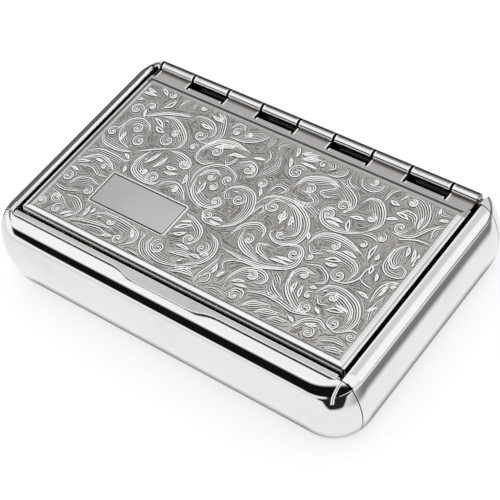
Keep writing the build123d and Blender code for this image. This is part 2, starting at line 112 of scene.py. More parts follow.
class Bench:
    """Adds nodes to one material or world: a type, its settings, then its sockets."""

    def __init__(self, owner):
        owner.use_nodes = True
        self.tree = owner.node_tree
        self.tree.nodes.clear()

    def add(self, kind, settings=None, **sockets):
        node = self.tree.nodes.new("ShaderNode" + kind)
        for name, value in (settings or {}).items():
            setattr(node, name, value)
        for name, value in sockets.items():
            place = node.inputs[name.replace("_", " ")]
            if isinstance(value, Wire):
                self.tree.links.new(value.socket, place)
            else:
                place.default_value = value
        return node

    def out(self, node, name=0):
        return Wire(self.tree, node.outputs[name])

    def noise(self, where, scale, detail):
        return self.out(self.add("TexNoise", Vector=where, Scale=scale, Detail=detail), "Fac")

    def join(self, node, socket, end, place):
        self.tree.links.new(node.outputs[socket], end.inputs[place])

    def tint(self, mask, low, high):
        """A colour that goes from one to another as a mask goes from 0 to 1."""
        node = self.add("Mix", {"data_type": "RGBA"})
        self.tree.links.new(mask.socket, node.inputs[0])
        for place, value in ((6, low), (7, high)):
            if isinstance(value, Wire):
                self.tree.links.new(value.socket, node.inputs[place])
            else:
                node.inputs[place].default_value = (*value, 1.0)
        return Wire(self.tree, node.outputs[2])


studio = bpy.data.worlds.new("studio")
bpy.context.scene.world = studio
room = Bench(studio)
split = room.add("SeparateXYZ", Vector=room.out(room.add("TexCoord"), "Generated"))
right, back, up = (room.out(split, axis) for axis in "XYZ")
dim_corner = up.step(0.10, 0.70, 0.12, 0.18)
softbox = up.step(0.675, 0.725).most(up.step(0.61, 0.65) * back.step(0.42, 0.45))
sky = dim_corner.towards(SOFTBOX, softbox)
side_light = right.step(0.35, 0.62, 0.76, 1.12)
sky = sky.towards(side_light, right.step(-0.28, -0.02))
front_light = up.step(0.15, 0.45, 0.86, 1.10)
in_front = back.step(0.385, 0.350) * right.step(-0.68, -0.62).most(back.step(0.25, 0.15))
sky = sky.towards(front_light, in_front)
low_corner = right.step(0.40, 0.50) * right.step(0.86, 0.80) * back.step(-0.30, -0.38)
sky = sky.towards(BLACK, low_corner * up.step(-0.01, 0.01))
rays = room.add("LightPath")
level = 1.0 + room.out(rays, "Is Glossy Ray") * (sky - 1.0)
background = room.add("Background", Color=(1.0, 1.0, 1.0, 1.0), Strength=level)
room.join(background, 0, room.add("OutputWorld"), "Surface")

# The table is white paper to the eye. For mirror rays only, shade is painted on it: a
# painted contact shadow round the case's foot, painted shade on the paper at the back and
# sides, and a painted dark pool at the front right.
bpy.ops.object.select_all(action="DESELECT")
bpy.ops.mesh.primitive_plane_add(size=6.0, location=(0, 0, 0))
table = bpy.context.object
table.name = "white_table"
paper = bpy.data.materials.new("white_paper")
FOOT_X = 42.4 * MM
FOOT_Y = 23.0 * MM
FOOT_R = 14.0 * MM
DIAGONAL = 0.707
bench = Bench(paper)
place = bench.add("SeparateXYZ", Vector=bench.out(bench.add("NewGeometry"), "Position"))
across, deep = bench.out(place, "X"), bench.out(place, "Y")
rays = bench.add("LightPath")
past_end = (across.size() - FOOT_X).most(0.0)
past_side = (deep.size() - FOOT_Y).most(0.0)
spread = past_end * past_end + past_side * past_side
clear_of_case = spread.math("SQRT", spread) - FOOT_R
# Painted contact shadow round the case's foot, for mirror rays only.
mirrored_floor_shade = clear_of_case.step(-2.2 * MM, 1.8 * MM, 0.19, 0.98)
to_right = across.step(70 * MM, 79 * MM) * deep.step(-55 * MM, -15 * MM)
mirrored_floor_shade = mirrored_floor_shade.towards(across.step(80 * MM, 140 * MM, 0.22, 1.02), to_right)
mirrored_floor_shade = mirrored_floor_shade.towards(0.20, deep.step(65 * MM, 95 * MM))
far_left = (across * 0.88 - deep * 0.3).step(-85 * MM, -110 * MM) * deep.step(-45 * MM, 0.0)
mirrored_floor_shade = mirrored_floor_shade.towards(0.16, far_left)
ahead = (across - deep) * DIAGONAL
aside = (across + deep - 17 * MM).size() * DIAGONAL
# A painted dark pool on the paper at the front right, for mirror rays only.
pool = ((ahead - 72 * MM) * 0.9 - aside).step(0.0, 5 * MM) * ahead.step(81 * MM, 86 * MM)
mirrored_floor_shade = mirrored_floor_shade.towards(BLACK, pool)
looked_at = bench.out(rays, "Is Camera Ray")
matt = bench.add("BsdfDiffuse", Color=(0.975, 0.975, 0.975, 1.0))
paper_white = bench.add("Emission", Strength=1.20)
lifted = bench.add("MixShader", Fac=looked_at * 0.46)
bench.join(matt, 0, lifted, 1)
bench.join(paper_white, 0, lifted, 2)
painted_shade_glow = bench.add("Emission", Strength=mirrored_floor_shade)
blend = bench.add("MixShader", Fac=bench.out(rays, "Is Glossy Ray"))
bench.join(lifted, 0, blend, 1)
bench.join(painted_shade_glow, 0, blend, 2)
bench.join(blend, 0, bench.add("OutputMaterial"), "Surface")
table.data.materials.append(paper)

# The card above the front edge makes the black band along the front wall, and is cut to
# the shape of that band's ends.
CARD_CENTRE = Vector((31.0, -82.5, 62.0)) * MM
CARD_SIZE = Vector((278.0, 125.0, 1000.0)) * MM
bpy.ops.object.select_all(action="DESELECT")
bpy.ops.mesh.primitive_plane_add(size=1.0, location=CARD_CENTRE, scale=CARD_SIZE)
bpy.ops.object.transform_apply(location=True, rotation=False, scale=True)
flag = bpy.context.object
flag.name = "black_flag"
flag.visible_camera = False
flag.visible_diffuse = False
flag.visible_shadow = False
felt = bpy.data.materials.new("black_felt")
bench = Bench(felt)
place = bench.add("SeparateXYZ", Vector=bench.out(bench.add("NewGeometry"), "Position"))
across, deep = bench.out(place, "X"), bench.out(place, "Y")
held = deep.step(-25 * MM, -38 * MM) * (deep + across * 0.4).step(-142 * MM, -118 * MM)
held = held * across.step(-96 * MM, -86 * MM)
card = bench.add("MixShader", Fac=held)
bench.join(bench.add("BsdfTransparent"), 0, card, 1)
bench.join(bench.add("Emission", Strength=0.006), 0, card, 2)
bench.join(card, 0, bench.add("OutputMaterial"), "Surface")
flag.data.materials.append(felt)

# The camera stands where the photograph's did, judged by the case's outline and seams.
lens = bpy.data.cameras.new("camera")
lens.lens = 110.48
lens.sensor_width = 36.0
lens.clip_start = 0.01
camera = bpy.data.objects.new("camera", lens)
bpy.context.scene.collection.objects.link(camera)
right_axis = Vector((0.7849, 0.5954, -0.1716))
down_axis = Vector((0.3776, -0.6791, -0.6295))
ahead_axis = Vector((-0.4913, 0.4293, -0.7578))
turn = Matrix((right_axis, -down_axis, -ahead_axis)).transposed().to_4x4()
camera.matrix_world = Matrix.Translation((0.19149, -0.16705, 0.29819)) @ turn
bpy.context.scene.camera = camera
bpy.context.scene.view_settings.view_transform = "Standard"

# Body shell. One piece of brass sheet drawn into a shallow pan with soft round walls, then
# plated and polished. It is open above for the lid, with a lowered seat before the opening
# that the front strip is soldered into, and a fine slit at each front corner.
CASE = Vector((112.8, 74.0, 19.8)) * MM
SHEET = 0.7 * MM
PLAN_R = 11.0 * MM
BULGE = 4.6 * MM
SMALL_R = 3.6 * MM
SEAM_Y = 29.1 * MM
SEAM_GAP = 0.16 * MM
OPEN_X = 51.3 * MM
OPEN_FRONT = -28.1 * MM
BACK_TOP = Vector((31.0, 17.0)) * MM
BACK_CENTRE = Vector((29.03, 9.25)) * MM
BACK_R = 8.0 * MM
BACK_SWEEP = 71.1
SLIT_X = 51.9 * MM
SLIT_FRONT = 34.6 * MM
SLIT_HALF = 0.09 * MM
SLIT_LOW = CASE.z - SMALL_R
SEAT_Z = CASE.z - SHEET
ABOVE = 21.0 * MM


def clean_start():
    """Leaves edit mode with nothing selected."""
    if bpy.context.object and bpy.context.object.mode == "EDIT":
        bpy.ops.object.mode_set(mode="OBJECT")
    bpy.ops.object.select_all(action="DESELECT")


def take_up(piece):
    """Makes one piece the only one selected."""
    clean_start()
    piece.select_set(True)
    bpy.context.view_layer.objects.active = piece


def one_vertex(name, x, y, z):
    """A mesh of one selected vertex, in edit mode, ready to be spun or extruded."""
    clean_start()
    bpy.ops.mesh.primitive_plane_add(size=0.001, location=(0, 0, 0))
    piece = bpy.context.object
    piece.name = piece.data.name = name
    bpy.ops.object.mode_set(mode="EDIT")
    bpy.ops.mesh.select_all(action="SELECT")
    bpy.ops.mesh.merge(type="CENTER")
    bpy.ops.transform.translate(value=(x, y, z))
    return piece


def draw_on(x, y, z):
    """Extrudes what is selected by a step."""
    bpy.ops.mesh.extrude_region_move(TRANSFORM_OT_translate={"value": (x, y, z)})


def spin(steps, degrees, centre, axis):
    """Turns what is selected about a centre, leaving a surface behind it."""
    bpy.ops.mesh.spin(steps=steps, angle=-radians(degrees), center=centre, axis=axis)


def pick(piece, test):
    """Selects only the vertices that a test picks by their place."""
    mesh = bmesh.from_edit_mesh(piece.data)
    bpy.ops.mesh.select_all(action="DESELECT")
    bpy.context.tool_settings.mesh_select_mode = (True, False, False)
    for vert in mesh.verts:
        vert.select = test(vert.co)
    mesh.select_flush_mode()
    bmesh.update_edit_mesh(piece.data)


def face_outwards():
    """Turns all faces of a closed mesh outwards and leaves edit mode."""
    bpy.ops.mesh.select_all(action="SELECT")
    bpy.ops.mesh.normals_make_consistent(inside=False)
    clean_start()


def rounded_body(name, inset):
    """The case's outer form as a closed solid, taken in all round by an inset."""
    half_z = CASE.z / 2
    side_r = (BULGE**2 + half_z**2 - 2 * half_z * SMALL_R) / (2 * (BULGE - SMALL_R))
    meet = atan2(half_z - SMALL_R, side_r - BULGE)
    turn_x = CASE.x / 2 - PLAN_R
    turn_y = CASE.y / 2 - PLAN_R
    flat_y = -CASE.y / 2 + BULGE
    piece = one_vertex(name, -turn_x, flat_y, CASE.z - inset)
    small_turn = 90 - meet * 180 / pi
    spin(14, small_turn, (-turn_x, flat_y, CASE.z - SMALL_R), (1, 0, 0))
    spin(16, 2 * meet * 180 / pi, (-turn_x, -CASE.y / 2 + side_r, half_z), (1, 0, 0))
    spin(14, small_turn, (-turn_x, flat_y, SMALL_R), (1, 0, 0))
    bpy.ops.mesh.select_all(action="SELECT")
    for x, y, step_x, step_y in ((1, -1, 2 * turn_x, 0), (1, 1, 0, 2 * turn_y),
                                 (-1, 1, -2 * turn_x, 0), (-1, -1, 0, -2 * turn_y)):
        draw_on(step_x, step_y, 0)
        spin(24, 90, (x * turn_x, y * turn_y, 0), (0, 0, 1))
    bpy.ops.mesh.select_all(action="SELECT")
    bpy.ops.mesh.remove_doubles(threshold=0.00001)
    for height in (CASE.z - inset, inset):
        pick(piece, lambda co: abs(co.z - height) < 0.00001)
        bpy.ops.mesh.edge_face_add()
    face_outwards()
    return piece


def outlined(name, points, rise):
    """A solid from an outline drawn point by point, then raised by a step."""
    piece = one_vertex(name, *points[0])
    for here, there in zip(points, points[1:]):
        draw_on(*(Vector(there) - Vector(here)))
    bpy.ops.mesh.select_all(action="SELECT")
    bpy.ops.mesh.edge_face_add()
    draw_on(*rise)
    face_outwards()
    return piece


def block(name, low, high):
    """A plain block between two corners, used to cut or to join."""
    clean_start()
    size = Vector(high) - Vector(low)
    bpy.ops.mesh.primitive_cube_add(size=1, location=(Vector(low) + Vector(high)) / 2,
                                    scale=size)
    piece = bpy.context.object
    piece.name = piece.data.name = name
    bpy.ops.object.transform_apply(location=True, rotation=True, scale=True)
    return piece


def apply(piece, kind, **settings):
    """Adds one modifier and applies it at once."""
    take_up(piece)
    modifier = piece.modifiers.new(kind.lower(), kind)
    for name, value in settings.items():
        setattr(modifier, name, value)
    bpy.ops.object.modifier_apply(modifier=modifier.name)


def cut(piece, cutter, operation="DIFFERENCE"):
    """Cuts, joins or keeps what is common with another solid, which is used up."""
    apply(piece, "BOOLEAN", operation=operation, solver="EXACT", object=cutter)
    bpy.data.objects.remove(cutter)


def copy_of(source, name):
    """A copy with its own mesh."""
    piece = source.copy()
    piece.data = source.data.copy()
    piece.name = piece.data.name = name
    bpy.context.scene.collection.objects.link(piece)
    return piece


def back_round(inset):
    """What is taken off the back wall's top, so that it runs in under the hinge."""
    radius = BACK_R - inset
    start = BACK_CENTRE + (BACK_TOP - BACK_CENTRE).normalized() * radius
    piece = one_vertex("back_round", -OPEN_X - inset, start.x, start.y)
    spin(24, -BACK_SWEEP, (0, BACK_CENTRE.x, BACK_CENTRE.y), (1, 0, 0))
    draw_on(0, 10 * MM, 0)
    draw_on(0, 0, 15 * MM)
    draw_on(0, -17 * MM, 0)
    bpy.ops.mesh.select_all(action="SELECT")
    bpy.ops.mesh.edge_face_add()
    draw_on(2 * (OPEN_X + inset), 0, 0)
    face_outwards()
    return piece


def seat_outline(back_y, margin, z):
    """Plan of the strip's seat: straight before the opening, easing in near the corners."""
    half_x = 50.4 * MM + margin
    front_y = -31.3 * MM - margin
    side_y = -29.6 * MM - margin
    flat_x = 43.0 * MM
    turn_x = (half_x + flat_x) / 2
    right_side = [(half_x, back_y, z)]
    for step in range(9):
        t = step / 8
        x = half_x * (1 - t)**2 + 2 * turn_x * t * (1 - t) + flat_x * t**2
        y = side_y * (1 - t)**2 + 2 * front_y * t * (1 - t) + front_y * t**2
        right_side.append((x, y, z))
    return right_side + [(-x, y, z) for x, y, z in reversed(right_side)]


def polish_normals(piece, angle=28):
    """Smooth shading with crisp folds, flats kept flat as polished sheet shows them."""
    take_up(piece)
    bpy.ops.object.shade_smooth_by_angle(angle=radians(angle))
    apply(piece, "WEIGHTED_NORMAL", mode="FACE_AREA", weight=60, keep_sharp=True)


def break_edges(piece):
    """Rounds the sharp edges by a hair, as the polishing wheel does."""
    apply(piece, "BEVEL", width=0.16 * MM, segments=2, limit_method="ANGLE",
          angle_limit=radians(60))
    polish_normals(piece)


def rail_zone(side, gap):
    """The end of the case outside its seam, grown on three sides by a gap."""
    near = OPEN_X - gap
    far = CASE.x / 2 + 5 * MM
    low = (near if side > 0 else -far, -SEAM_Y - gap, -1 * MM)
    high = (far if side > 0 else -near, SEAM_Y + gap, CASE.z + 1 * MM)
    return block("rail_zone", low, high)


def metal_finish(name, tint, shade, roughness, haze=0.035, rub=0.03, along=(1, 14, 6),
                 hollows=0.10, patch=90.0, marks=None):
    """Worked metal: patches of haze, rubbing lines along one way and a slight waviness.
    Marks, if given, paint shade, highlights and dark seam lines on parts of it by place, and
    say where it is bare metal."""
    material = bpy.data.materials.new(name)
    bench = Bench(material)
    where = bench.out(bench.add("TexCoord"), "Object")
    clouds = bench.noise(where, patch, 4.0)
    drawn = bench.out(bench.add("Mapping", Vector=where, Scale=along))
    lines = bench.noise(drawn, 420.0, 3.0)
    rough = roughness + clouds.step(0.35, 0.75) * haze + lines.step(0.55, 0.8) * rub
    worn = clouds.step(0.45, 0.8) * 0.7 + lines.step(0.5, 0.8) * 0.3
    soft = bench.noise(where, 60.0, 1.0)
    bump = bench.add("Bump", Strength=hollows, Distance=0.00004, Height=soft + lines * rub * 3.0)
    colour = bench.tint(worn, tint, shade)
    mirror = 1.0
    if marks:
        spot = bench.add("SeparateXYZ", Vector=where)
        colour, mirror = marks(bench, colour, *(bench.out(spot, axis) for axis in "XYZ"))
    metal = bench.add("BsdfPrincipled", Metallic=mirror, Roughness=rough,
                      Normal=bench.out(bump), Base_Color=colour)
    bench.join(metal, 0, bench.add("OutputMaterial"), "Surface")
    return material


def seam_shade_and_glint(bench, colour, x, y, z):
    """Painted shadow inside the butted seams and corner slits, and a painted white highlight,
    matt, along each slit's edge.
    """
    butt = y.size().line_at(SEAM_Y + SEAM_GAP / 2, 0.14 * MM, 0.10 * MM)
    slit = y.step(-SEAM_Y, -SEAM_Y - 0.1 * MM) * z.step(SLIT_LOW, SLIT_LOW + 0.1 * MM)
    # A painted white highlight, matt, along each slit's edge.
    painted_edge_glint = x.size().line_at(SLIT_X, 0.34 * MM, 0.28 * MM) * slit
    colour = bench.tint(painted_edge_glint, colour, (0.93, 0.93, 0.93))
    # Painted near-black shadow inside the seams and slits.
    painted_seam_shadow = butt.most(x.size().line_at(SLIT_X, 0.10 * MM, 0.07 * MM) * slit)
    return bench.tint(painted_seam_shadow, colour, (0.01, 0.01, 0.01)), 1.0 - painted_edge_glint


def set_on(piece, material, body, slot, *nodes):
    """Gives a piece its finish, the body that carries it and the nodes it stands for."""
    piece.data.materials.append(material)
    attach(piece, body)
    if nodes:
        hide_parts(*nodes)


case_plate = metal_finish("case_plate", (0.82, 0.82, 0.825), (0.75, 0.75, 0.76), 0.025,
                          marks=seam_shade_and_glint)

sheet = rounded_body("sheet", 0.0)
cut(sheet, back_round(0.0))
hollow = rounded_body("hollow", SHEET)
cut(hollow, back_round(SHEET))
cut(sheet, hollow)

body = copy_of(sheet, "drawn_body")
for side in (-1, 1):
    cut(body, rail_zone(side, SEAM_GAP))
    slit = side * SLIT_X
    cut(body, block("slit", (slit - SLIT_HALF, -SLIT_FRONT, SLIT_LOW),
                    (slit + SLIT_HALF, -SEAM_Y, ABOVE)))
cut(body, block("mouth", (-OPEN_X, OPEN_FRONT - SHEET, CASE.z / 2), (OPEN_X, BACK_TOP.x, ABOVE)))
cut(body, outlined("pocket", seat_outline(0.0, 0.1 * MM, SEAT_Z), (0, 0, 2 * MM)))
seat = outlined("seat", seat_outline(OPEN_FRONT - SHEET, SHEET, SEAT_Z - SHEET), (0, 0, SHEET))
cut(seat, rounded_body("form", 0.0), "INTERSECT")
cut(body, seat, "UNION")
break_edges(body)
set_on(body, case_plate, "case", "case_chrome", "base_shell")

# Side rails. Each end of the case is closed by a rolled rail of the same sheet, butted to
# the drawn body at two fine seams. Its inner edge is bevelled and turned down by the lid.
RAIL_TIP_Z = CASE.z - 1.05 * MM
for side, name in ((-1, "left_side_rail"), (1, "right_side_rail")):
    rail = copy_of(sheet, name.replace("side_rail", "rolled_rail"))
    cut(rail, rail_zone(side, 0.0), "INTERSECT")
    x0, x1 = sorted((side * OPEN_X, side * (OPEN_X + SHEET)))
    cut(rail, block("lip", (x0, -SEAM_Y + 0.4 * MM, CASE.z - 4.6 * MM),
                    (x1, SEAM_Y - 0.4 * MM, CASE.z - SHEET / 2)), "UNION")
    slope = Vector((side * 0.55, 0, 1.05)) * MM
    low_end = Vector((side * OPEN_X, -30 * MM, RAIL_TIP_Z)) - slope
    high_end = low_end + slope * 3
    corner = Vector((low_end.x, low_end.y, high_end.z))
    cut(rail, outlined("bevel", (low_end, high_end, corner), (0, 60 * MM, 0)))
    break_edges(rail)
    set_on(rail, case_plate, "case", "case_chrome", name)
bpy.data.objects.remove(sheet)

# Front strip. A separate sheet soldered into the seat before the lid, widened in a soft
# wave where the thumb goes. Its edge is rounded by buffing, with a painted white highlight
# along it, and its top is softly worn.


def smooth_copy(node, name, angle, broken_edge):
    """A welded, smooth-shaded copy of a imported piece, its sharp edges broken if asked."""
    piece = copy_of(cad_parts[node], name)
    piece.parent = None
    for key in list(piece.keys()):
        del piece[key]
    take_up(piece)
    bpy.ops.object.mode_set(mode="EDIT")
    bpy.ops.mesh.select_all(action="SELECT")
    bpy.ops.mesh.remove_doubles(threshold=0.000002)
    bpy.ops.mesh.dissolve_limited(angle_limit=radians(0.5))
    clean_start()
    piece.data.materials.clear()
    if broken_edge:
        apply(piece, "BEVEL", width=broken_edge, segments=3, limit_method="ANGLE",
              angle_limit=radians(50), use_clamp_overlap=True)
    polish_normals(piece, angle)
    return piece


def finish_copy(node, name, material, body, slot, angle=32, broken_edge=0.0):
    """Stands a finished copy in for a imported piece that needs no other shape."""
    set_on(smooth_copy(node, name, angle, broken_edge), material, body, slot, node)


def painted_edge_highlight(bench, colour, x, y, z):
    """A painted white highlight, matt, along the strip's rounded top edge."""
    edge = z.step(19.56 * MM, 19.62 * MM) * z.step(19.798 * MM, 19.78 * MM)
    return bench.tint(edge, colour, (0.97, 0.97, 0.965)), 1.0 - edge


strip_plate = metal_finish("strip_plate", (0.53, 0.525, 0.515), (0.42, 0.415, 0.405), 0.07,
                           haze=0.06, rub=0.05, along=(1, 22, 6), marks=painted_edge_highlight)
finish_copy("front_strip", "land_strip", strip_plate, "case", "case_chrome", 40, 0.2 * MM)

# Tray liner. Thin drawn sheet with a soft gilt wash, sprung into the body and flanged to
# the hinge leaf. The cigarettes lie in it.


def gilded(name, marks=None):
    """The gilt wash of the case's linings."""
    return metal_finish(name, (0.86, 0.66, 0.34), (0.72, 0.52, 0.25), 0.16, haze=0.10,
                        rub=0.08, along=(1, 18, 18), hollows=0.2, marks=marks)


def rim_painted_shade(bench, colour, x, y, z):
    """The tray's rim under the case's edge is painted near-black in place of the gilt, as
    painted shade.
    """
    past_side = y.size().step(24.8 * MM, 24.95 * MM)
    rim = past_side.most(x.size().step(48.4 * MM, 48.55 * MM))
    return bench.tint(rim, colour, (0.03, 0.027, 0.024)), 1.0


# The tray's rim is painted near-black as shade where it lies under the case's edge.
gilt_tray = gilded("gilt_tray", rim_painted_shade)
finish_copy("tray_liner", "gilt_tray", gilt_tray, "case", "tray_lining")

# Catch spring and its rivets. A leaf of blued steel on the tray's front wall holds the
# lid's hook, with two brass studs through it.
blued_steel = metal_finish("blued_steel", (0.40, 0.42, 0.47), (0.20, 0.21, 0.26), 0.22,
                           haze=0.12, rub=0.10, along=(1, 20, 4), patch=240.0)
tumbled_brass = metal_finish("tumbled_brass", (0.84, 0.66, 0.36), (0.60, 0.45, 0.22), 0.25,
                             haze=0.12, rub=0.05, along=(1, 1, 1), hollows=0.3, patch=600.0)
finish_copy("catch_spring", "blued_catch_leaf", blued_steel, "case", "spring_steel")
finish_copy("catch_rivets", "catch_studs", tumbled_brass, "case", "rivet_brass")

# Piano hinge. Two plated leaves rolled round one wire, four knuckles on the body's leaf
# and five on the lid's. Their colour holds painted shade on the backs of the barrels and on
# the leaf before them, painted black shadow in the gaps between the knuckles, and a painted
# white highlight on each knuckle's rim.
KNUCKLE_PAIR = 23.0 * MM
LONG_KNUCKLE = 11.8 * MM
FIRST_JOINT = -38.2 * MM


def knuckle_shade_and_glints(bench, colour, x, y, z):
    """Knuckles with a painted white highlight on their rims, painted black shadow in the gaps
    between them, painted shade on the back of the barrels and a dark rolled seam line; the
    leaf before them is painted dull grey, with painted shade deepening towards them and
    painted black shadow where it goes in under them."""
    along_pin = x - FIRST_JOINT
    first = x.math("FLOORED_MODULO", along_pin, KNUCKLE_PAIR)
    second = x.math("FLOORED_MODULO", along_pin - LONG_KNUCKLE, KNUCKLE_PAIR)
    near = (first - KNUCKLE_PAIR / 2).size().most((second - KNUCKLE_PAIR / 2).size())
    # The leaf before the knuckles is painted dull grey, with painted shade deepening towards
    # them.
    leaf = bench.tint(y.step(28.2 * MM, 29.1 * MM), (0.38, 0.372, 0.36), (0.15, 0.125, 0.11))
    colour = bench.tint(y.step(29.6 * MM, 29.3 * MM), colour, leaf)
    rolled_line = y.line_at(30.0 * MM, 0.18 * MM, 0.06 * MM)
    # Painted shade on the back of the barrels, joined with the dark rolled seam line.
    dark_seam_and_back_shade = y.step(30.6 * MM, 31.0 * MM).most(rolled_line)
    colour = bench.tint(dark_seam_and_back_shade, colour, (0.24, 0.24, 0.24))
    # A painted white highlight on each knuckle's rim.
    painted_rim_highlight = near.step(10.75 * MM, 10.85 * MM)
    colour = bench.tint(painted_rim_highlight, colour, (0.97, 0.97, 0.97))
    # Painted black shadow in the gaps and where the leaf goes in under the knuckles.
    under_knuckle_shadow = y.line_at(29.45 * MM, 0.24 * MM, 0.14 * MM)
    gap = near.step(11.05 * MM, 11.12 * MM).most(under_knuckle_shadow)
    return bench.tint(gap, colour, (0.015, 0.015, 0.015)), 1.0


hinge_plate = metal_finish("hinge_plate", (0.80, 0.80, 0.805), (0.62, 0.62, 0.63), 0.05,
                           haze=0.08, rub=0.08, along=(14, 1, 1), patch=180.0,
                           marks=knuckle_shade_and_glints)
drawn_wire = metal_finish("drawn_wire", (0.62, 0.62, 0.63), (0.42, 0.42, 0.43), 0.20,
                          haze=0.08, rub=0.12, along=(1, 30, 30), patch=300.0)
finish_copy("body_hinge_leaf", "fixed_leaf", hinge_plate, "case", "hinge_plate", 34, 0.07 * MM)
finish_copy("hinge_pin", "hinge_wire", drawn_wire, "case", "pin_wire")
finish_copy("lid_hinge_leaf", "moving_leaf", hinge_plate, "lid", "hinge_plate", 34, 0.07 * MM)

# Lid plate. A flat plated sheet with a skirt turned down at the front and both ends. Its
# top is framed by rolled lines: a fine bead, a broad sloping band and a second fine bead,
# round a duller sunk ground that the scrolls stand on.
LID_TOP = 19.3 * MM
FRAME_X = 49.95 * MM
FRAME_Y = 26.35 * MM


def stepped(name, low, high, steps, corner=0.0):
    """A plate whose top steps inwards as if rolled, each step an inset and a rise in mm."""
    piece = block(name, low, high)
    take_up(piece)
    bpy.ops.object.mode_set(mode="EDIT")
    if corner:
        mesh = bmesh.from_edit_mesh(piece.data)
        bpy.context.tool_settings.mesh_select_mode = (False, True, False)
        bpy.ops.mesh.select_all(action="DESELECT")
        for edge in mesh.edges:
            edge.select = abs(edge.verts[0].co.z - edge.verts[1].co.z) > 0.00001
        bmesh.update_edit_mesh(piece.data)
        bpy.ops.mesh.bevel(offset=corner, segments=6)
    mesh = bmesh.from_edit_mesh(piece.data)
    bpy.context.tool_settings.mesh_select_mode = (False, False, True)
    bpy.ops.mesh.select_all(action="DESELECT")
    for face in mesh.faces:
        face.select = face.normal.z > 0.9
    bmesh.update_edit_mesh(piece.data)
    for inwards, rise in steps:
        bpy.ops.mesh.inset(thickness=inwards * MM, depth=rise * MM)
    clean_start()
    return piece


def centre_faces(piece, height, material_index):
    """Gives the level faces at one height another of the piece's finishes."""
    for face in piece.data.polygons:
        if face.normal.z > 0.99 and abs(face.center.z - height) < 0.000004:
            face.material_index = material_index


def lined_ground():
    """Dull warm plating, cut all over with fine flowing lines between the scrolls, and
    lighter towards the front."""
    material = bpy.data.materials.new("lined_ground")
    bench = Bench(material)
    where = bench.out(bench.add("TexCoord"), "Object")
    flow = bench.noise(where, 120.0, 0.6)
    cross = bench.noise(where, 210.0, 1.0)
    clouds = bench.noise(where, 45.0, 3.0)
    specks = bench.noise(where, 2600.0, 2.0)
    lines = (flow * 330.0).ripple() * 0.5 + (cross * 210.0).ripple() * 0.25 + 0.5
    depth = bench.out(bench.add("SeparateXYZ", Vector=where), "Y")
    lighter_to_front = depth.step(-13.0 * MM, -22.0 * MM, 0.0, 0.35)
    worn = lines * 0.60 + clouds * 0.45 + specks * 0.30 - 0.10 + lighter_to_front
    bump = bench.add("Bump", Strength=0.35, Distance=0.00003, Height=lines + specks * 0.5)
    metal = bench.add("BsdfPrincipled", Metallic=0.85, Roughness=0.36 + clouds * 0.12,
                      Normal=bench.out(bump),
                      Base_Color=bench.tint(worn, (0.235, 0.224, 0.203), (0.60, 0.58, 0.54)))
    bench.join(metal, 0, bench.add("OutputMaterial"), "Surface")
    return material


def lid_shade_and_glints(bench, colour, x, y, z):
    """Painted shade in the frame's two fine grooves, a duller back edge, and on the front
    skirt a painted white highlight along its top with a painted brown reflection below it,
    both painted matt."""
    from_edge = -1.0 * (x.size() - FRAME_X).most(y.size() - FRAME_Y)
    # Painted shade in the frame's two fine grooves.
    first_line = from_edge.line_at(0.46 * MM, 0.13 * MM, 0.06 * MM)
    painted_groove_shade = first_line.most(from_edge.line_at(1.50 * MM, 0.13 * MM, 0.06 * MM))
    on_top = z.step(19.20 * MM, 19.25 * MM)
    colour = bench.tint(painted_groove_shade * on_top, colour, (0.56, 0.56, 0.56))
    colour = bench.tint(y.step(23.8 * MM, 24.4 * MM), colour, (0.44, 0.433, 0.42))
    # On the front skirt, a painted brown reflection, matt, with a painted highlight along its
    # top.
    skirt = y.step(-26.55 * MM, -26.62 * MM)
    painted_skirt_reflection = skirt * z.step(18.00 * MM, 18.15 * MM)
    colour = bench.tint(painted_skirt_reflection, colour, (0.20, 0.15, 0.125))
    painted_top_highlight = skirt * z.step(18.45 * MM, 18.65 * MM)
    return bench.tint(painted_top_highlight, colour, (0.80, 0.79, 0.77)), 1.0 - painted_skirt_reflection


lid_edge_plate = metal_finish("lid_edge_plate", (0.84, 0.84, 0.845), (0.72, 0.72, 0.73), 0.08,
                              haze=0.06, rub=0.05, along=(1, 16, 6), marks=lid_shade_and_glints)
finish_copy("lid_plate", "lid_sheet", lid_edge_plate, "lid", "engraved_lid", 34)

frame_steps = ((0.20, 0.12), (0.20, -0.12), (0.18, 0.0), (0.82, 0.11), (0.15, -0.11),
               (0.15, 0.0), (0.15, 0.09), (0.15, -0.09))
top = stepped("rolled_frame", (-FRAME_X, -FRAME_Y, LID_TOP - 0.15 * MM),
              (FRAME_X, FRAME_Y, LID_TOP + 0.002 * MM), frame_steps)
set_on(top, lid_edge_plate, "lid", "engraved_lid")
top.data.materials.append(lined_ground())
widest = max(top.data.polygons, key=lambda face: face.area if face.normal.z > 0.9 else 0.0)
widest.material_index = 1

# Name panel. A blank rectangle left at the lid's left front for a name, never cut. It has a
# raised bright outline, a groove just inside it whose floor is painted near-black as
# shadow, and a brushed middle.
panel_steps = ((0.10, 0.09), (0.24, 0.0), (0.06, -0.08), (0.34, 0.0), (0.06, 0.05))
panel_low = LID_TOP - 0.02 * MM
panel_high = LID_TOP + 0.02 * MM
panel = stepped("name_panel", (-36.3 * MM, -16.55 * MM, panel_low),
                (-11.1 * MM, -5.4 * MM, panel_high), panel_steps, 1.0 * MM)
bright_cut = metal_finish("bright_outline", (0.95, 0.95, 0.945), (0.86, 0.86, 0.85), 0.22,
                          haze=0.05, rub=0.04, along=(1, 1, 1))
brushed = metal_finish("brushed_panel", (0.55, 0.545, 0.53), (0.46, 0.455, 0.44), 0.20,
                       haze=0.06, rub=0.05, along=(1, 26, 6), hollows=0.03, patch=60.0)
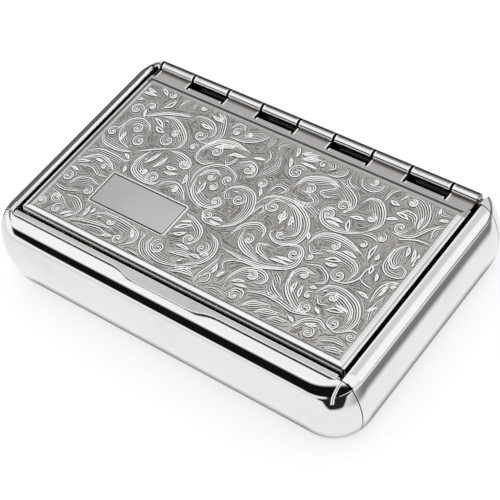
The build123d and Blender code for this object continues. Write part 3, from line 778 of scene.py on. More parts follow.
# The groove floor's near-black finish is painted shadow.
groove = metal_finish("painted_groove_shadow", (0.03, 0.03, 0.029), (0.02, 0.02, 0.019), 0.35)
set_on(panel, bright_cut, "lid", "engraved_lid")
panel.data.materials.append(brushed)
panel.data.materials.append(groove)
centre_faces(panel, panel_high + 0.01 * MM, 2)
centre_faces(panel, panel_high + 0.06 * MM, 1)

# Engraved scrolls. Leafy scrollwork cut by hand all over the lid: sweeps, curls, leaves and
# short fill strokes, each a slim ridge of bright metal with a painted highlight on its crest,
# between two skirts of painted shadow. Places are in millimetres on the lid, listed one by one.
GROUND_X = 47.6
GROUND_Y = 24.0
PANEL_BOX = (-36.75, -10.65, -17.0, -4.95)
LINE_GAP = 0.60
strokes = []
lobes = []


def on_ground(point):
    """Whether a point is on the sunk ground and clear of the name panel."""
    on_lid = abs(point.x) < GROUND_X and abs(point.y) < GROUND_Y
    left, right_end, front, rear = PANEL_BOX
    on_panel = left < point.x < right_end and front < point.y < rear
    return on_lid and not on_panel


def eased(points, spacing=0.55):
    """A smooth line through a few points."""
    marks = [Vector(point) for point in points]
    marks = [marks[0] * 2 - marks[1]] + marks + [marks[-1] * 2 - marks[-2]]
    line = []
    for a, b, c, d in zip(marks, marks[1:], marks[2:], marks[3:]):
        count = max(2, round((c - b).length / spacing))
        for step in range(count):
            t = step / count
            line.append((b * 2 + (c - a) * t + (a * 2 - b * 5 + c * 4 - d) * t**2
                         + (b * 3 - a - c * 3 + d) * t**3) / 2)
    line.append(marks[-2])
    return line


def lay(line, width, tone=1.0):
    """Notes a stroke, broken where it would leave the ground or run into the panel."""
    run = []
    for point in line:
        if on_ground(point):
            run.append(point)
        else:
            if len(run) > 2:
                strokes.append((run, width, tone))
            run = []
    if len(run) > 2:
        strokes.append((run, width, tone))


def beside(line, distance, trim):
    """A line's neighbour to its left, drawn to it at both ends as in a leaf."""
    last = len(line) - 1
    moved = []
    for step, point in enumerate(line):
        t = step / last
        if trim <= t <= 1 - trim * 0.8:
            ahead = line[min(step + 1, last)] - line[max(step - 1, 0)]
            normal = Vector((-ahead.y, ahead.x)).normalized()
            moved.append(point + normal * distance * sin(pi * t)**0.55)
    return moved


def sweep(lines, width, *points):
    """A main stroke with finer ones beside it, to its left, or to its right if negative,
    and a place for small lobes along its inner side."""
    line = eased(points)
    lay(line, width)
    for step in range(1, abs(lines) + 1):
        distance = LINE_GAP * step * (1 if lines > 0 else -1)
        lay(beside(line, distance, 0.05 * step), width * (0.9 - 0.07 * step), 0.90)
    last = len(line) - 1
    reach = LINE_GAP * abs(lines) + 0.45
    for step in range(3, last - 2, 3):
        ahead = (line[step + 1] - line[step - 1]).normalized()
        inwards = Vector((-ahead.y, ahead.x)) * (1 if lines > 0 else -1)
        root = line[step] + inwards * reach * sin(pi * step / last)**0.55
        lobes.append((root, root + ahead * 0.8 + inwards * 0.25, root + ahead * 1.3 + inwards))


def curl(x, y, radius, start, turned):
    """A curl that winds inwards, with a finer one inside it and a bead at its heart."""
    count = max(6, round(abs(turned) / 24))
    for ring in range(2):
        line = []
        reach = radius - ring * 0.55
        for step in range(count + 1):
            t = step / count
            angle = radians(start + turned * t * (1 - 0.25 * ring))
            away = reach * (1 - 0.76 * t)
            line.append(Vector((x + away * cos(angle), y + away * sin(angle))))
        if reach > 0.6:
            lay(line, 0.44 - 0.12 * ring)
    lay([Vector((x + away, y + away * 0.4)) for away in (-0.34, 0.0, 0.34)], 0.72)


def leaf(x0, y0, x1, y1, bow):
    """A small leaf: two strokes that part and meet again, the outer one bolder."""
    start = Vector((x0, y0))
    tip = Vector((x1, y1))
    across_leaf = Vector((y0 - y1, x1 - x0)).normalized()
    for share, width in ((1.0, 0.62), (-0.25, 0.42)):
        middle = (start + tip) / 2 + across_leaf * bow * share
        lay(eased((start, middle, tip), 0.45), width)


# Left half: the back row of scrolls.
sweep(-1, 0.5, (-42.1, 13.4), (-37.5, 17.1), (-33.5, 18.7), (-30.1, 19.3))
sweep(-3, 0.42, (-29.2, 19.3), (-27.7, 20.7), (-23.3, 20.2), (-20.8, 17.5), (-21.4, 15.2))
sweep(-2, 0.42, (-27.0, 25.0), (-21.9, 23.3), (-19.3, 19.6), (-18.6, 17.1), (-20.0, 13.8),
      (-23.3, 13.3))
sweep(2, 0.45, (-27.5, 24.0), (-24.8, 24.2), (-21.8, 21.6))
sweep(-4, 0.45, (-37.8, 15.6), (-33.9, 16.8), (-30.0, 15.4), (-26.6, 12.6), (-26.0, 9.6),
      (-27.4, 8.0))
sweep(0, 0.46, (-27.4, 8.0), (-30.6, 6.2), (-32.8, 4.7), (-35.4, 2.8))
sweep(1, 0.40, (-33.4, 25.0), (-35.0, 23.0), (-35.5, 20.8))
sweep(1, 0.36, (-30.2, 25.0), (-31.9, 23.6), (-31.6, 21.6))
sweep(-1, 0.40, (-18.2, 21.0), (-17.4, 23.2), (-15.2, 23.2), (-14.4, 21.8))
sweep(5, 0.42, (-16.8, 18.4), (-12.6, 18.6), (-9.2, 20.4), (-7.4, 23.0), (-7.4, 25.0))
sweep(-4, 0.50, (-20.9, 9.4), (-20.6, 13.0), (-18.0, 16.4), (-13.5, 17.5), (-8.6, 16.4))
sweep(2, 0.42, (-20.9, 11.0), (-20.0, 8.3), (-17.0, 7.6), (-14.9, 9.3))
sweep(-2, 0.62, (-18.0, 13.2), (-16.2, 15.6), (-12.8, 16.7))
sweep(-1, 0.66, (-13.0, 12.6), (-12.0, 14.2), (-8.4, 14.7))
sweep(1, 0.40, (-13.0, 11.6), (-11.4, 10.2), (-10.2, 12.2), (-10.4, 13.8))
sweep(-2, 0.42, (-9.0, 12.2), (-6.8, 14.0), (-3.8, 13.2), (-2.9, 10.4), (-4.8, 9.2))
sweep(0, 0.40, (-4.6, 19.4), (-2.8, 17.6), (-3.0, 15.2))
sweep(1, 0.36, (-1.0, 23.6), (-3.0, 22.0), (-2.2, 20.2))
sweep(-2, 0.34, (-6.0, 24.6), (-5.2, 22.2), (-5.6, 19.6))
sweep(-2, 0.36, (-1.0, 19.6), (0.8, 16.2), (-0.4, 12.8), (-2.0, 11.2))
curl(-23.9, 15.1, 2.0, 60, -430)
curl(-30.1, 12.4, 1.5, 40, 380)
curl(-30.6, 9.6, 2.3, 130, 380)
curl(-29.2, 23.4, 1.5, 150, -380)
curl(-42.3, 17.2, 1.5, 200, -380)
curl(-45.4, 14.7, 2.1, 10, 430)
curl(-39.4, 23.4, 1.6, 100, 360)
curl(-15.9, 20.6, 1.5, 60, 380)
curl(-12.5, 21.4, 1.2, 170, 380)
curl(-16.6, 12.6, 1.9, 120, -430)
curl(-5.4, 11.4, 2.0, 170, -430)
curl(-23.0, 11.0, 1.3, 30, 340)
leaf(-48.0, 20.3, -43.6, 21.0, 0.5)
leaf(-47.8, 22.4, -44.6, 22.0, -0.5)
leaf(-48.0, 17.2, -46.2, 18.4, 0.5)
leaf(-44.0, 24.0, -41.0, 22.4, 0.6)
leaf(-39.0, 18.4, -37.4, 22.0, -0.9)
leaf(-38.8, 14.4, -34.6, 12.6, 0.7)
leaf(-36.6, 12.2, -33.2, 11.4, -0.8)
leaf(-41.6, 13.2, -43.0, 16.0, 0.4)
leaf(-22.4, 18.6, -26.4, 18.6, 0.6)
leaf(-25.6, 22.4, -21.2, 21.8, -0.5)
leaf(-6.8, 15.4, -3.6, 16.2, 0.4)

# Left half: the middle row.
sweep(-3, 0.42, (-45.4, 6.6), (-44.4, 10.8), (-41.8, 12.6), (-38.4, 11.8), (-37.0, 9.8))
sweep(3, 0.40, (-44.6, 9.0), (-44.2, 6.2), (-42.0, 3.6), (-38.2, 2.5))
sweep(3, 0.44, (-48.0, 4.4), (-46.0, 1.2), (-40.6, 0.6), (-36.6, 1.9))
sweep(-4, 0.44, (-27.9, 7.0), (-24.4, 7.8), (-20.8, 6.9), (-19.4, 5.0), (-20.6, 3.6))
sweep(5, 0.50, (-32.0, 4.6), (-33.5, 1.0), (-32.6, -2.9), (-28.6, -4.6), (-24.4, -4.2),
      (-23.6, -2.2))
sweep(-3, 0.42, (-22.8, -4.6), (-22.2, -2.2), (-19.2, -0.8), (-16.2, -1.9), (-13.6, -4.6))
sweep(-1, 0.42, (-16.0, 0.8), (-16.9, 4.6), (-14.8, 8.3), (-11.3, 9.8), (-7.3, 8.7),
      (-6.0, 6.4))
sweep(-3, 0.46, (-15.6, 3.4), (-14.8, 6.2), (-12.4, 7.5), (-10.6, 6.6))
sweep(4, 0.46, (-15.9, 4.0), (-14.6, -0.4), (-11.4, -3.0), (-7.6, -3.7), (-4.8, -2.0),
      (-4.6, 0.0))
sweep(-4, 0.44, (-6.4, 2.2), (-5.6, 5.0), (-2.6, 6.5), (0.8, 5.9), (3.1, 2.9), (3.7, -1.1),
      (2.3, -4.8), (-1.0, -7.3))
sweep(2, 0.36, (-6.4, 3.6), (-5.2, 1.2), (-3.2, 1.8))
sweep(-3, 0.42, (-48.0, -4.3), (-45.2, -1.4), (-40.1, -0.9), (-36.5, -1.3), (-34.6, -0.2))
sweep(-2, 0.46, (-47.8, -6.4), (-43.6, -2.9), (-39.4, -3.4), (-36.4, -5.6))
sweep(1, 0.40, (-46.8, -8.2), (-42.6, -7.3), (-39.4, -8.5), (-36.9, -8.0))
sweep(1, 0.36, (-19.2, 2.8), (-15.6, -0.8), (-12.2, -3.4), (-8.0, -4.6))
sweep(1, 0.42, (-7.4, -5.0), (-5.2, -7.3), (-1.2, -7.2))
curl(-40.6, 9.1, 1.9, 170, -430)
curl(-37.3, 5.9, 2.1, 100, 430)
curl(-46.0, 5.4, 1.8, 60, 400)
curl(-21.4, 5.2, 1.7, 20, -430)
curl(-29.2, -1.6, 1.2, 160, 400)
curl(-25.8, -2.3, 2.1, 250, -400)
curl(-18.4, -3.0, 1.4, 160, -340)
curl(-12.4, 5.0, 1.3, 60, -380)
curl(-8.0, 6.2, 1.6, 300, -380)
curl(-10.0, 2.6, 1.4, 120, -400)
curl(-6.4, -0.9, 1.7, 300, 430)
curl(-1.6, 2.4, 2.2, 100, -450)
curl(-5.4, -5.1, 1.9, 80, 430)
curl(-39.6, -5.6, 1.2, 20, 340)
leaf(-26.6, 5.0, -28.2, 0.4, 0.5)
leaf(-29.2, 5.4, -31.0, 0.6, 0.5)
leaf(-25.4, 2.4, -22.0, 2.8, -0.6)
leaf(-24.6, 0.6, -20.8, 1.6, -0.5)
leaf(-12.8, 3.4, -12.2, -1.2, 0.6)
leaf(-4.2, -5.5, -0.8, -5.2, 0.5)
leaf(-4.0, -6.4, -0.6, -6.4, -0.4)
leaf(-48.0, -7.9, -44.4, -5.8, 0.6)
leaf(-43.6, -4.4, -41.2, -4.6, 0.4)
leaf(-37.8, 0.6, -35.6, -0.4, 0.5)
leaf(-42.4, 6.8, -42.0, 3.6, -0.5)
leaf(-18.6, 3.0, -17.6, -0.4, 0.6)
leaf(-35.0, -2.6, -34.0, -4.6, 0.5)

# Left half: the front row, round the panel.
sweep(-3, 0.44, (-11.0, -7.6), (-7.3, -7.9), (-3.4, -10.0), (-2.6, -13.4), (-4.6, -15.4))
sweep(3, 0.42, (-15.0, -16.6), (-15.3, -20.0), (-12.6, -23.2), (-8.0, -24.2))
sweep(4, 0.44, (-12.8, -16.8), (-13.3, -19.8), (-11.0, -22.2), (-6.4, -23.0), (-1.2, -21.6))
sweep(3, 0.52, (-6.8, -19.4), (-4.0, -18.8), (-0.8, -18.2))
sweep(-4, 0.42, (-44.3, -14.6), (-43.2, -11.6), (-40.2, -10.4), (-36.8, -11.2))
sweep(1, 0.40, (-48.0, -16.2), (-44.0, -16.6), (-40.2, -15.2))
sweep(-3, 0.42, (-42.4, -17.6), (-38.6, -17.2), (-35.6, -19.4), (-35.8, -22.2))
sweep(-4, 0.44, (-31.9, -20.0), (-29.4, -17.6), (-23.0, -17.2), (-17.6, -18.2),
      (-16.4, -21.1), (-18.8, -23.8))
sweep(1, 0.50, (-36.8, -24.0), (-32.1, -22.2), (-24.4, -20.8))
sweep(-1, 0.40, (-33.0, -23.6), (-28.0, -22.2), (-23.8, -22.8))
sweep(-2, 0.36, (-48.0, -17.8), (-43.4, -18.4), (-40.0, -20.4))
sweep(-3, 0.40, (-16.2, -23.8), (-12.0, -24.0), (-8.0, -24.0))
curl(-4.8, -13.7, 1.8, 330, -430)
curl(-10.0, -19.4, 2.4, 110, 430)
curl(-46.4, -12.6, 2.1, 200, -450)
curl(-38.2, -14.0, 1.7, 130, -400)
curl(-44.0, -19.4, 1.8, 330, -400)
curl(-41.4, -22.5, 1.8, 60, 400)
curl(-46.8, -22.2, 1.4, 300, 400)
curl(-20.8, -22.4, 1.8, 20, -420)
curl(-26.0, -19.2, 1.3, 60, -360)
leaf(-10.4, -12.8, -6.6, -9.8, 0.7)
leaf(-9.6, -14.4, -6.6, -12.4, -0.6)
leaf(-10.2, -10.4, -7.6, -9.0, 0.4)
leaf(-39.4, -23.6, -37.2, -21.4, 0.4)
leaf(-38.2, -24.0, -36.2, -22.0, 0.4)
leaf(-34.2, -17.4, -33.6, -21.2, 0.5)
leaf(-32.4, -17.4, -32.6, -19.4, 0.4)
leaf(-25.4, -23.8, -22.6, -22.6, 0.5)
leaf(-19.6, -18.4, -17.6, -20.6, 0.5)
leaf(-6.6, -16.6, -2.6, -16.4, 0.5)
leaf(-48.0, -9.6, -45.0, -9.8, 0.4)

# Right half: the back row.
sweep(3, 0.60, (8.8, 24.6), (5.2, 23.8), (3.4, 22.2))
sweep(-2, 0.62, (4.4, 20.8), (6.2, 22.4), (9.2, 22.8))
sweep(-4, 0.50, (8.2, 12.4), (8.8, 16.0), (11.4, 18.0), (15.0, 18.9), (18.6, 17.8))
sweep(1, 0.40, (14.6, 18.0), (17.8, 17.2), (16.4, 15.8), (14.9, 14.2), (17.0, 13.4),
      (18.6, 14.4))
sweep(2, 0.38, (10.4, 12.4), (12.8, 12.2), (15.4, 10.8), (13.0, 9.2), (10.0, 9.6))
sweep(-4, 0.40, (16.6, 19.8), (20.8, 18.6), (24.2, 16.5), (25.2, 13.6), (23.4, 11.4))
sweep(-5, 0.44, (26.1, 16.0), (27.0, 18.3), (29.8, 18.9), (32.8, 16.4), (34.2, 12.4),
      (31.8, 8.9))
sweep(-2, 0.44, (31.8, 8.7), (28.5, 6.6), (24.5, 5.7), (20.8, 6.5), (18.8, 9.1), (19.9, 11.4),
      (22.2, 11.3))
sweep(3, 0.40, (21.4, 23.6), (23.0, 20.8), (26.2, 20.4), (28.0, 22.2), (27.2, 24.4))
sweep(1, 0.42, (30.6, 19.6), (31.0, 22.8), (33.6, 25.0))
sweep(-5, 0.42, (33.9, 21.4), (35.2, 24.0), (39.0, 24.3), (41.9, 22.2), (43.5, 18.5),
      (43.0, 15.4))
sweep(1, 0.42, (37.3, 12.2), (39.8, 12.0), (42.7, 13.1), (44.9, 16.7), (46.9, 19.3))
sweep(-2, 0.42, (35.4, 17.4), (37.0, 19.3), (40.0, 18.9), (41.4, 16.0))
sweep(2, 0.38, (48.0, 19.2), (46.1, 17.4), (46.7, 14.6))
sweep(-3, 0.40, (12.0, 24.6), (13.8, 22.4), (12.4, 21.0))
sweep(-3, 0.42, (16.8, 24.6), (17.4, 22.0), (15.8, 20.2), (13.4, 19.8))
sweep(-1, 0.38, (18.8, 22.4), (19.6, 20.2), (22.4, 19.2))
sweep(1, 0.36, (44.0, 24.4), (45.0, 22.2), (47.6, 22.8))
curl(5.9, 16.7, 2.6, 40, 450)
curl(12.2, 13.8, 1.7, 150, -420)
curl(22.6, 13.2, 2.2, 300, 450)
curl(30.8, 13.2, 1.5, 110, -380)
curl(20.9, 9.3, 1.8, 150, -430)
curl(36.9, 22.0, 1.4, 120, -400)
curl(38.6, 14.2, 2.0, 20, -430)
curl(36.4, 9.3, 1.4, 100, -360)
curl(25.2, 23.4, 1.3, 200, 340)
curl(10.4, 22.0, 1.1, 100, 300)
leaf(21.6, 8.6, 25.6, 8.8, 0.4)
leaf(21.6, 7.6, 25.6, 7.4, 0.4)
leaf(26.0, 11.2, 29.6, 12.0, 0.6)
leaf(26.4, 10.4, 28.2, 7.2, -0.8)
leaf(35.0, 17.6, 38.8, 17.2, 0.7)
leaf(44.4, 22.0, 44.2, 24.4, 0.4)
leaf(45.4, 20.4, 48.0, 21.2, 0.5)
leaf(42.4, 15.8, 41.8, 19.6, 0.5)
leaf(34.0, 14.8, 36.6, 16.0, 0.5)
leaf(1.6, 20.2, 3.4, 17.2, 0.5)
leaf(1.4, 24.2, 2.8, 21.0, 0.5)
leaf(31.6, 20.4, 34.6, 20.0, -0.6)
leaf(5.0, 19.8, 9.8, 20.0, 0.4)

# Right half: the middle row.
sweep(4, 0.46, (43.4, 10.6), (41.3, 8.0), (41.6, 4.6), (44.0, 3.0), (45.2, 4.8))
sweep(2, 0.42, (40.9, 8.4), (41.2, 3.0), (43.8, 0.8), (47.2, 1.6), (47.0, 3.8), (45.0, 4.4))
sweep(0, 0.46, (40.1, 10.9), (43.8, 12.7), (48.0, 13.1))
sweep(1, 0.40, (31.6, 8.2), (34.0, 8.6), (36.2, 8.0))
sweep(-2, 0.46, (3.0, 3.3), (4.1, 6.5), (7.0, 8.3), (11.7, 8.7), (16.5, 6.6), (19.4, 3.3),
      (19.9, -0.8), (17.9, -3.4), (14.6, -4.2), (11.9, -2.8), (12.2, -0.8))
sweep(-4, 0.46, (9.0, 7.2), (13.0, 7.0), (16.4, 4.2), (18.0, 0.6), (16.0, -1.6))
sweep(-1, 0.42, (5.5, 4.0), (6.6, 6.9), (9.4, 7.3))
sweep(1, 0.40, (3.6, 8.4), (4.6, 10.8), (7.2, 10.6), (6.2, 8.8))
sweep(2, 0.36, (11.2, 9.0), (15.4, 8.2), (19.4, 6.8))
sweep(1, 0.40, (3.8, -0.6), (4.8, 3.2), (5.8, 3.0), (5.8, 0.8))
sweep(-2, 0.46, (16.2, -5.4), (17.6, -3.2), (20.8, -2.2), (23.0, -4.0), (23.3, -7.7),
      (20.8, -10.2), (15.4, -12.0), (9.2, -12.4), (4.0, -11.8))
sweep(-3, 0.44, (3.5, -7.4), (4.2, -3.6), (7.4, -1.2), (10.3, -2.2), (11.0, -4.8))
sweep(4, 0.48, (5.6, -4.4), (6.6, -8.4), (9.9, -10.4), (14.8, -11.0))
sweep(2, 0.46, (14.0, -5.6), (11.4, -6.4), (12.4, -8.6), (16.8, -9.6))
sweep(-4, 0.50, (21.8, -0.8), (22.4, 2.9), (25.6, 4.9), (30.3, 4.9), (35.2, 2.9))
sweep(-3, 0.44, (26.0, -0.4), (30.0, 0.8), (35.0, 0.2), (37.2, -2.0), (36.6, -5.4))
sweep(2, 0.40, (22.2, -0.6), (24.2, -2.5), (27.0, -1.4))
sweep(0, 0.48, (33.6, -6.8), (36.6, -6.0), (38.6, -3.4), (38.7, -0.4), (40.2, 2.6))
sweep(2, 0.42, (48.0, 0.2), (45.6, -0.8), (44.2, -4.0), (44.8, -8.0))
sweep(-1, 0.40, (25.0, -6.0), (28.5, -4.8), (31.8, -6.3), (32.3, -8.4), (30.4, -9.7))
sweep(0, 0.42, (38.8, -3.2), (40.4, -4.0), (42.8, -4.4))
curl(7.5, 4.7, 1.9, 160, 430)
curl(11.2, 3.2, 1.5, 80, -380)
curl(20.8, -4.9, 1.9, 60, -430)
curl(8.4, -6.6, 1.6, 150, -400)
curl(14.4, -1.6, 1.5, 20, -380)
curl(28.1, 1.9, 1.5, 130, -400)
curl(33.9, -5.0, 2.1, 130, 450)
curl(47.0, -1.4, 1.4, 160, -360)
curl(24.6, -3.6, 1.2, 200, 360)
curl(33.6, 5.6, 1.2, 120, -340)
curl(0.4, 9.4, 1.6, 120, -400)
leaf(10.6, 5.4, 12.0, 1.0, 0.6)
leaf(13.4, 4.8, 14.4, 1.4, 0.6)
leaf(17.4, -7.6, 22.0, -7.0, 0.4)
leaf(16.4, -8.8, 21.4, -8.2, 0.4)
leaf(28.2, -2.6, 32.0, -1.2, 0.8)
leaf(28.8, -3.4, 32.0, -2.6, -0.5)
leaf(43.6, 10.4, 44.6, 7.4, 0.5)
leaf(45.2, 10.4, 46.6, 6.6, 0.5)
leaf(47.0, 9.6, 47.4, 5.6, 0.5)
leaf(36.8, 7.2, 37.2, 2.4, -0.7)
leaf(38.6, 5.0, 38.8, 3.0, 0.5)
leaf(38.8, 1.6, 40.0, -1.2, 0.7)
leaf(41.4, 0.0, 42.4, -2.2, 0.4)
leaf(45.4, -1.4, 45.6, -5.4, 0.4)
leaf(1.0, 8.2, 2.4, 5.8, 0.4)
leaf(19.6, 2.4, 21.2, 0.4, 0.5)
leaf(30.6, 1.6, 34.6, 1.4, 0.5)

# Right half: the front row.
sweep(-3, 0.44, (24.6, -12.4), (23.8, -9.6), (25.4, -7.2), (29.0, -7.4))
sweep(3, 0.46, (24.0, -9.2), (24.5, -13.1), (26.9, -15.9), (31.0, -18.1), (34.6, -17.8))
sweep(-3, 0.44, (32.1, -12.0), (33.6, -8.6), (37.2, -7.7), (42.5, -9.3), (45.2, -12.8),
      (45.2, -16.4), (42.7, -18.9), (39.8, -17.8))
sweep(-4, 0.46, (34.4, -12.0), (35.6, -9.8), (39.0, -9.7), (42.8, -12.0), (43.6, -15.8))
sweep(1, 0.40, (33.2, -12.4), (34.6, -14.0), (36.4, -13.5))
sweep(-5, 0.46, (11.3, -19.8), (11.4, -16.6), (13.5, -13.7), (17.0, -12.6), (19.7, -13.8),
      (19.4, -16.0), (17.2, -16.6))
sweep(1, 0.42, (8.6, -17.2), (7.4, -15.4), (8.8, -13.8), (11.5, -12.9), (16.0, -12.3),
      (22.2, -9.6))
sweep(-1, 0.40, (13.8, -21.6), (14.8, -20.0), (17.2, -20.2), (17.6, -22.6))
sweep(-3, 0.50, (18.8, -23.8), (20.6, -21.2), (24.6, -20.2))
sweep(-3, 0.50, (22.6, -23.9), (24.4, -21.6), (28.4, -20.8))
sweep(-2, 0.46, (26.6, -23.9), (28.0, -22.2), (31.4, -21.9))
sweep(2, 0.46, (17.4, -19.6), (21.6, -18.3), (26.0, -18.4), (30.6, -19.0), (35.2, -17.6))
sweep(-3, 0.44, (33.0, -22.8), (34.0, -19.6), (37.5, -17.8), (40.6, -19.4))
sweep(-3, 0.46, (-1.4, -9.6), (2.2, -11.0), (3.8, -14.6), (2.6, -18.2), (-1.0, -20.6))
sweep(2, 0.42, (5.6, -14.6), (4.8, -18.4), (4.0, -21.2), (4.6, -23.8))
sweep(-1, 0.40, (4.6, -21.8), (6.4, -19.6), (7.2, -21.6), (5.4, -23.4))
sweep(-2, 0.36, (8.0, -23.6), (10.4, -22.6), (13.6, -23.4))
sweep(-3, 0.38, (20.6, -13.4), (23.0, -15.6), (26.6, -17.2))
sweep(-2, 0.36, (20.4, -11.4), (22.4, -12.6), (23.6, -14.4))
sweep(3, 0.36, (46.8, -4.6), (46.0, -9.0), (47.6, -13.6))
sweep(2, 0.46, (41.0, -22.6), (43.4, -21.2), (46.6, -21.0))
sweep(-2, 0.50, (42.4, -23.6), (45.0, -22.4), (47.6, -22.4))
sweep(2, 0.40, (-3.0, -22.8), (0.4, -21.4), (2.8, -18.8))
sweep(3, 0.56, (-2.6, -23.8), (0.0, -22.8), (3.4, -22.4))
curl(26.6, -8.9, 1.4, 140, -380)
curl(32.6, -16.4, 1.9, 120, 450)
curl(36.4, -11.0, 1.6, 140, -380)
curl(41.0, -17.0, 1.9, 120, 450)
curl(15.8, -15.2, 1.8, 160, -420)
curl(15.6, -22.0, 1.6, 60, 380)
curl(37.2, -22.0, 1.8, 130, -400)
curl(46.5, -18.2, 1.9, 160, -430)
curl(0.0, -14.5, 2.0, 120, -430)
curl(31.0, -13.2, 1.3, 60, 340)
leaf(26.6, -11.2, 27.0, -14.6, -0.6)
leaf(28.4, -11.6, 29.4, -15.0, -0.6)
leaf(30.0, -11.2, 31.6, -10.6, 0.5)
leaf(37.0, -14.6, 41.0, -13.4, 0.8)
leaf(38.2, -12.4, 42.0, -12.8, 0.4)
leaf(34.4, -15.4, 36.4, -16.4, 0.4)
leaf(12.4, -18.8, 15.6, -17.4, 0.5)
leaf(13.4, -19.4, 17.0, -18.6, 0.4)
leaf(8.6, -19.8, 9.4, -17.4, 0.5)
leaf(6.2, -16.2, 6.8, -19.4, 0.5)
leaf(35.2, -20.4, 38.0, -19.6, 0.5)
leaf(0.6, -16.4, 2.6, -15.2, 0.6)
leaf(-1.6, -17.4, 1.6, -17.2, 0.5)
leaf(45.6, -10.4, 47.0, -8.4, 0.4)
leaf(40.4, -6.6, 43.8, -7.2, 0.5)
leaf(30.4, -20.4, 32.6, -21.4, 0.4)

# Fill strokes run alongside what is cut already, in every gap wide enough for one.
CELL = 0.6
FILL_STEP = 0.61
guide = KDTree(sum(len(line) for line, width, tone in strokes))
ways = []
taken = {}


def claim(line):
    """Notes a line's points by the cell they lie in."""
    for point in line:
        taken.setdefault((int(point.x // CELL), int(point.y // CELL)), []).append(point)


def is_free(point, room_needed=0.47):
    """Whether no stroke passes near a point of the ground."""
    column = int(point.x // CELL)
    row = int(point.y // CELL)
    for x in (column - 1, column, column + 1):
        for y in (row - 1, row, row + 1):
            for other in taken.get((x, y), ()):
                if (other - point).length < room_needed:
                    return False
    return on_ground(point)


for line, width, tone in strokes:
    last = len(line) - 1
    for step, point in enumerate(line):
        guide.insert((point.x, point.y, 0.0), len(ways))
        ways.append((line[min(step + 1, last)] - line[max(step - 1, 0)]).normalized())
    claim(line)
guide.balance()

for lobe in lobes:
    line = []
    for point in eased(lobe, 0.36):
        if not is_free(point, 0.5):
            break
        line.append(point)
    if len(line) > 2:
        strokes.append((line, 0.62, 1.0))
        claim(line)


def follow(start, heading):
    """Walks beside the nearest stroke until the gap closes."""
    line = []
    point = start
    for step in range(9):
        way = ways[guide.find((point.x, point.y, 0.0))[1]]
        if way.dot(heading) < 0:
            way = -way
        heading = (heading * 0.5 + way).normalized()
        point = point + heading * 0.42
        if not is_free(point):
            break
        line.append(point)
    return line


for row in range(-40, 41):
    for column in range(-78, 79):
        shift = sin(12.9 * column + 78.2 * row)
        start = Vector((column * FILL_STEP + 0.16 * shift,
                        row * FILL_STEP + 0.16 * sin(shift * 40)))
        if is_free(start):
            way = ways[guide.find((start.x, start.y, 0.0))[1]]
            line = list(reversed(follow(start, -way))) + [start] + follow(start, way)
            if len(line) > 3:
                apart = guide.find((start.x, start.y, 0.0))[2]
                tone = 0.80 - 0.30 * min(1.0, apart / 1.5) + 0.16 * shift
                strokes.append((line, 0.20 + 0.06 * shift, tone))
                claim(line)

# The way painted shadow falls beside the ridges: skirts turned this way are painted darker and
# wider.
SHADED_WAY = Vector((0.5, -0.87))
RIDGE_FOOT = 19.306
RIDGE_ROOT = 19.28
stroke_edge = ((-1.5, 0.0, 0.0), (-1.1, 0.3, 0.2), (-0.75, 0.9, 1.0), (0.75, 0.9, 1.0),
               (1.1, 0.3, 0.2), (1.5, 0.0, 0.0))
slim_edge = ((-1.3, 0.0, 0.0), (0.0, 1.0, 1.0), (1.3, 0.0, 0.0))


def engraved(name, chosen):
    """One mesh of many strokes, each a closed ridge that swells and runs out to a point."""
    mesh = bmesh.new()
    tones = mesh.verts.layers.float.new("tone")
    for line, width, tone in chosen:
        last = len(line) - 1
        edge = stroke_edge if width > 0.36 else slim_edge
        rings = []
        for step, point in enumerate(line):
            ahead = (line[min(step + 1, last)] - line[max(step - 1, 0)]).normalized()
            normal = Vector((-ahead.y, ahead.x))
            swell = (0.12 + 0.88 * sin(pi * (step + 0.25) / (last + 0.5))**0.6) * width
            ring = []
            for aside, rise, bright in edge:
                # Each skirt is painted shadow, darker and wider on the side turned along
                # SHADED_WAY.
                shaded = 0.5 + 0.5 * normal.dot(SHADED_WAY) * (1 if aside > 0 else -1)
                if not rise:
                    aside *= 0.85 + 0.75 * shaded
                    bright = 0.34 * (1 - shaded)
                spot = point + normal * aside * (0.07 + 0.30 * swell)
                height = RIDGE_FOOT + rise * min(0.15, 0.06 + 0.20 * swell)
                ring.append(mesh.verts.new((spot.x * MM, spot.y * MM, height * MM)))
                ring[-1][tones] = bright * tone
            ring.append(mesh.verts.new((point.x * MM, point.y * MM, RIDGE_ROOT * MM)))
            rings.append(ring)
        for here, there in zip(rings, rings[1:]):
            for side in range(len(here)):
                after = (side + 1) % len(here)
                mesh.faces.new((here[side], here[after], there[after], there[side]))
        mesh.faces.new(reversed(rings[0]))
        mesh.faces.new(rings[-1])
    bmesh.ops.recalc_face_normals(mesh, faces=mesh.faces)
    for face in mesh.faces:
        face.smooth = True
    data = bpy.data.meshes.new(name)
    mesh.to_mesh(data)
    mesh.free()
    piece = bpy.data.objects.new(name, data)
    bpy.context.scene.collection.objects.link(piece)
    return piece


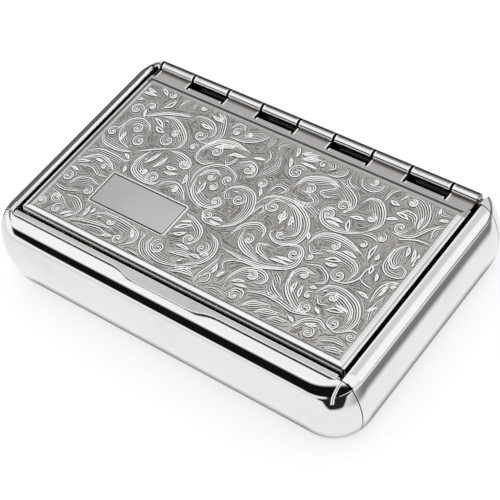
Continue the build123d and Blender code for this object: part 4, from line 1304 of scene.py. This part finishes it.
def cut_metal():
    """Freshly cut bright metal on the ridge, painted whiter and partly matt as a highlight,
    going down to painted shadow in the skirt beside it.
    """
    material = bpy.data.materials.new("scroll_cuts")
    bench = Bench(material)
    where = bench.out(bench.add("TexCoord"), "Object")
    tone = bench.out(bench.add("Attribute", {"attribute_name": "tone"}), "Fac")
    chatter = bench.noise(where, 1500.0, 2.0)
    bright = tone.step(0.02, 0.95) * (0.88 + chatter * 0.2)
    # The crest is painted white and partly matt as a highlight; the skirt is painted dark as
    # shadow.
    metal = bench.add("BsdfPrincipled", Metallic=1.0 - bright * 0.65,
                      Roughness=0.40 - tone * 0.15,
                      Base_Color=bench.tint(bright, (0.09, 0.087, 0.08), (1.0, 1.0, 0.99)))
    bench.join(metal, 0, bench.add("OutputMaterial"), "Surface")
    return material


scroll_cuts = cut_metal()
for name, on_right in (("left_scrolls", False), ("right_scrolls", True)):
    chosen = [stroke for stroke in strokes
              if (stroke[0][len(stroke[0]) // 2].x >= 0) == on_right]
    set_on(engraved(name, chosen), scroll_cuts, "lid", "engraved_lid")

# Lid liner and catch tongue. A gilt sheet covers the back of the engraving, and a hooked
# steel tongue is soldered inside the lid's front skirt.
finish_copy("lid_liner", "gilt_lid_lining", gilded("gilt_wash"), "lid", "tray_lining")
finish_copy("catch_tongue", "catch_hook", blued_steel, "lid", "spring_steel", 32, 0.04 * MM)

# Bar brackets. Two stamped brass ears, each held to the lid lining by one stud, carry a
# drawn wire that the retaining bar turns on.
satin_brass = metal_finish("satin_brass", (0.80, 0.62, 0.33), (0.62, 0.46, 0.23), 0.28,
                           haze=0.10, rub=0.12, along=(1, 12, 1), hollows=0.2, patch=300.0)
for side in ("left", "right"):
    finish_copy(side + "_bar_bracket", side + "_brass_ear", satin_brass, "lid",
                "bracket_brass", 32, 0.05 * MM)
finish_copy("bracket_rivets", "bracket_studs", tumbled_brass, "lid", "rivet_brass")
finish_copy("bar_pin", "bar_wire", drawn_wire, "lid", "pin_wire")

# Retaining bar. A plated strip with a beaded edge and rolled eyes, pressed on the upper
# row of cigarettes by a wound steel spring at each bracket.
bar_plate = metal_finish("bar_plate", (0.80, 0.80, 0.805), (0.62, 0.62, 0.63), 0.09,
                         haze=0.08, rub=0.07, along=(1, 16, 16), patch=160.0)
finish_copy("retaining_bar", "beaded_bar", bar_plate, "retainer", "bar_plate", 34)
for side in ("left", "right"):
    finish_copy(side + "_bar_spring", side + "_wound_spring", blued_steel, "retainer",
                "spring_steel", 50)
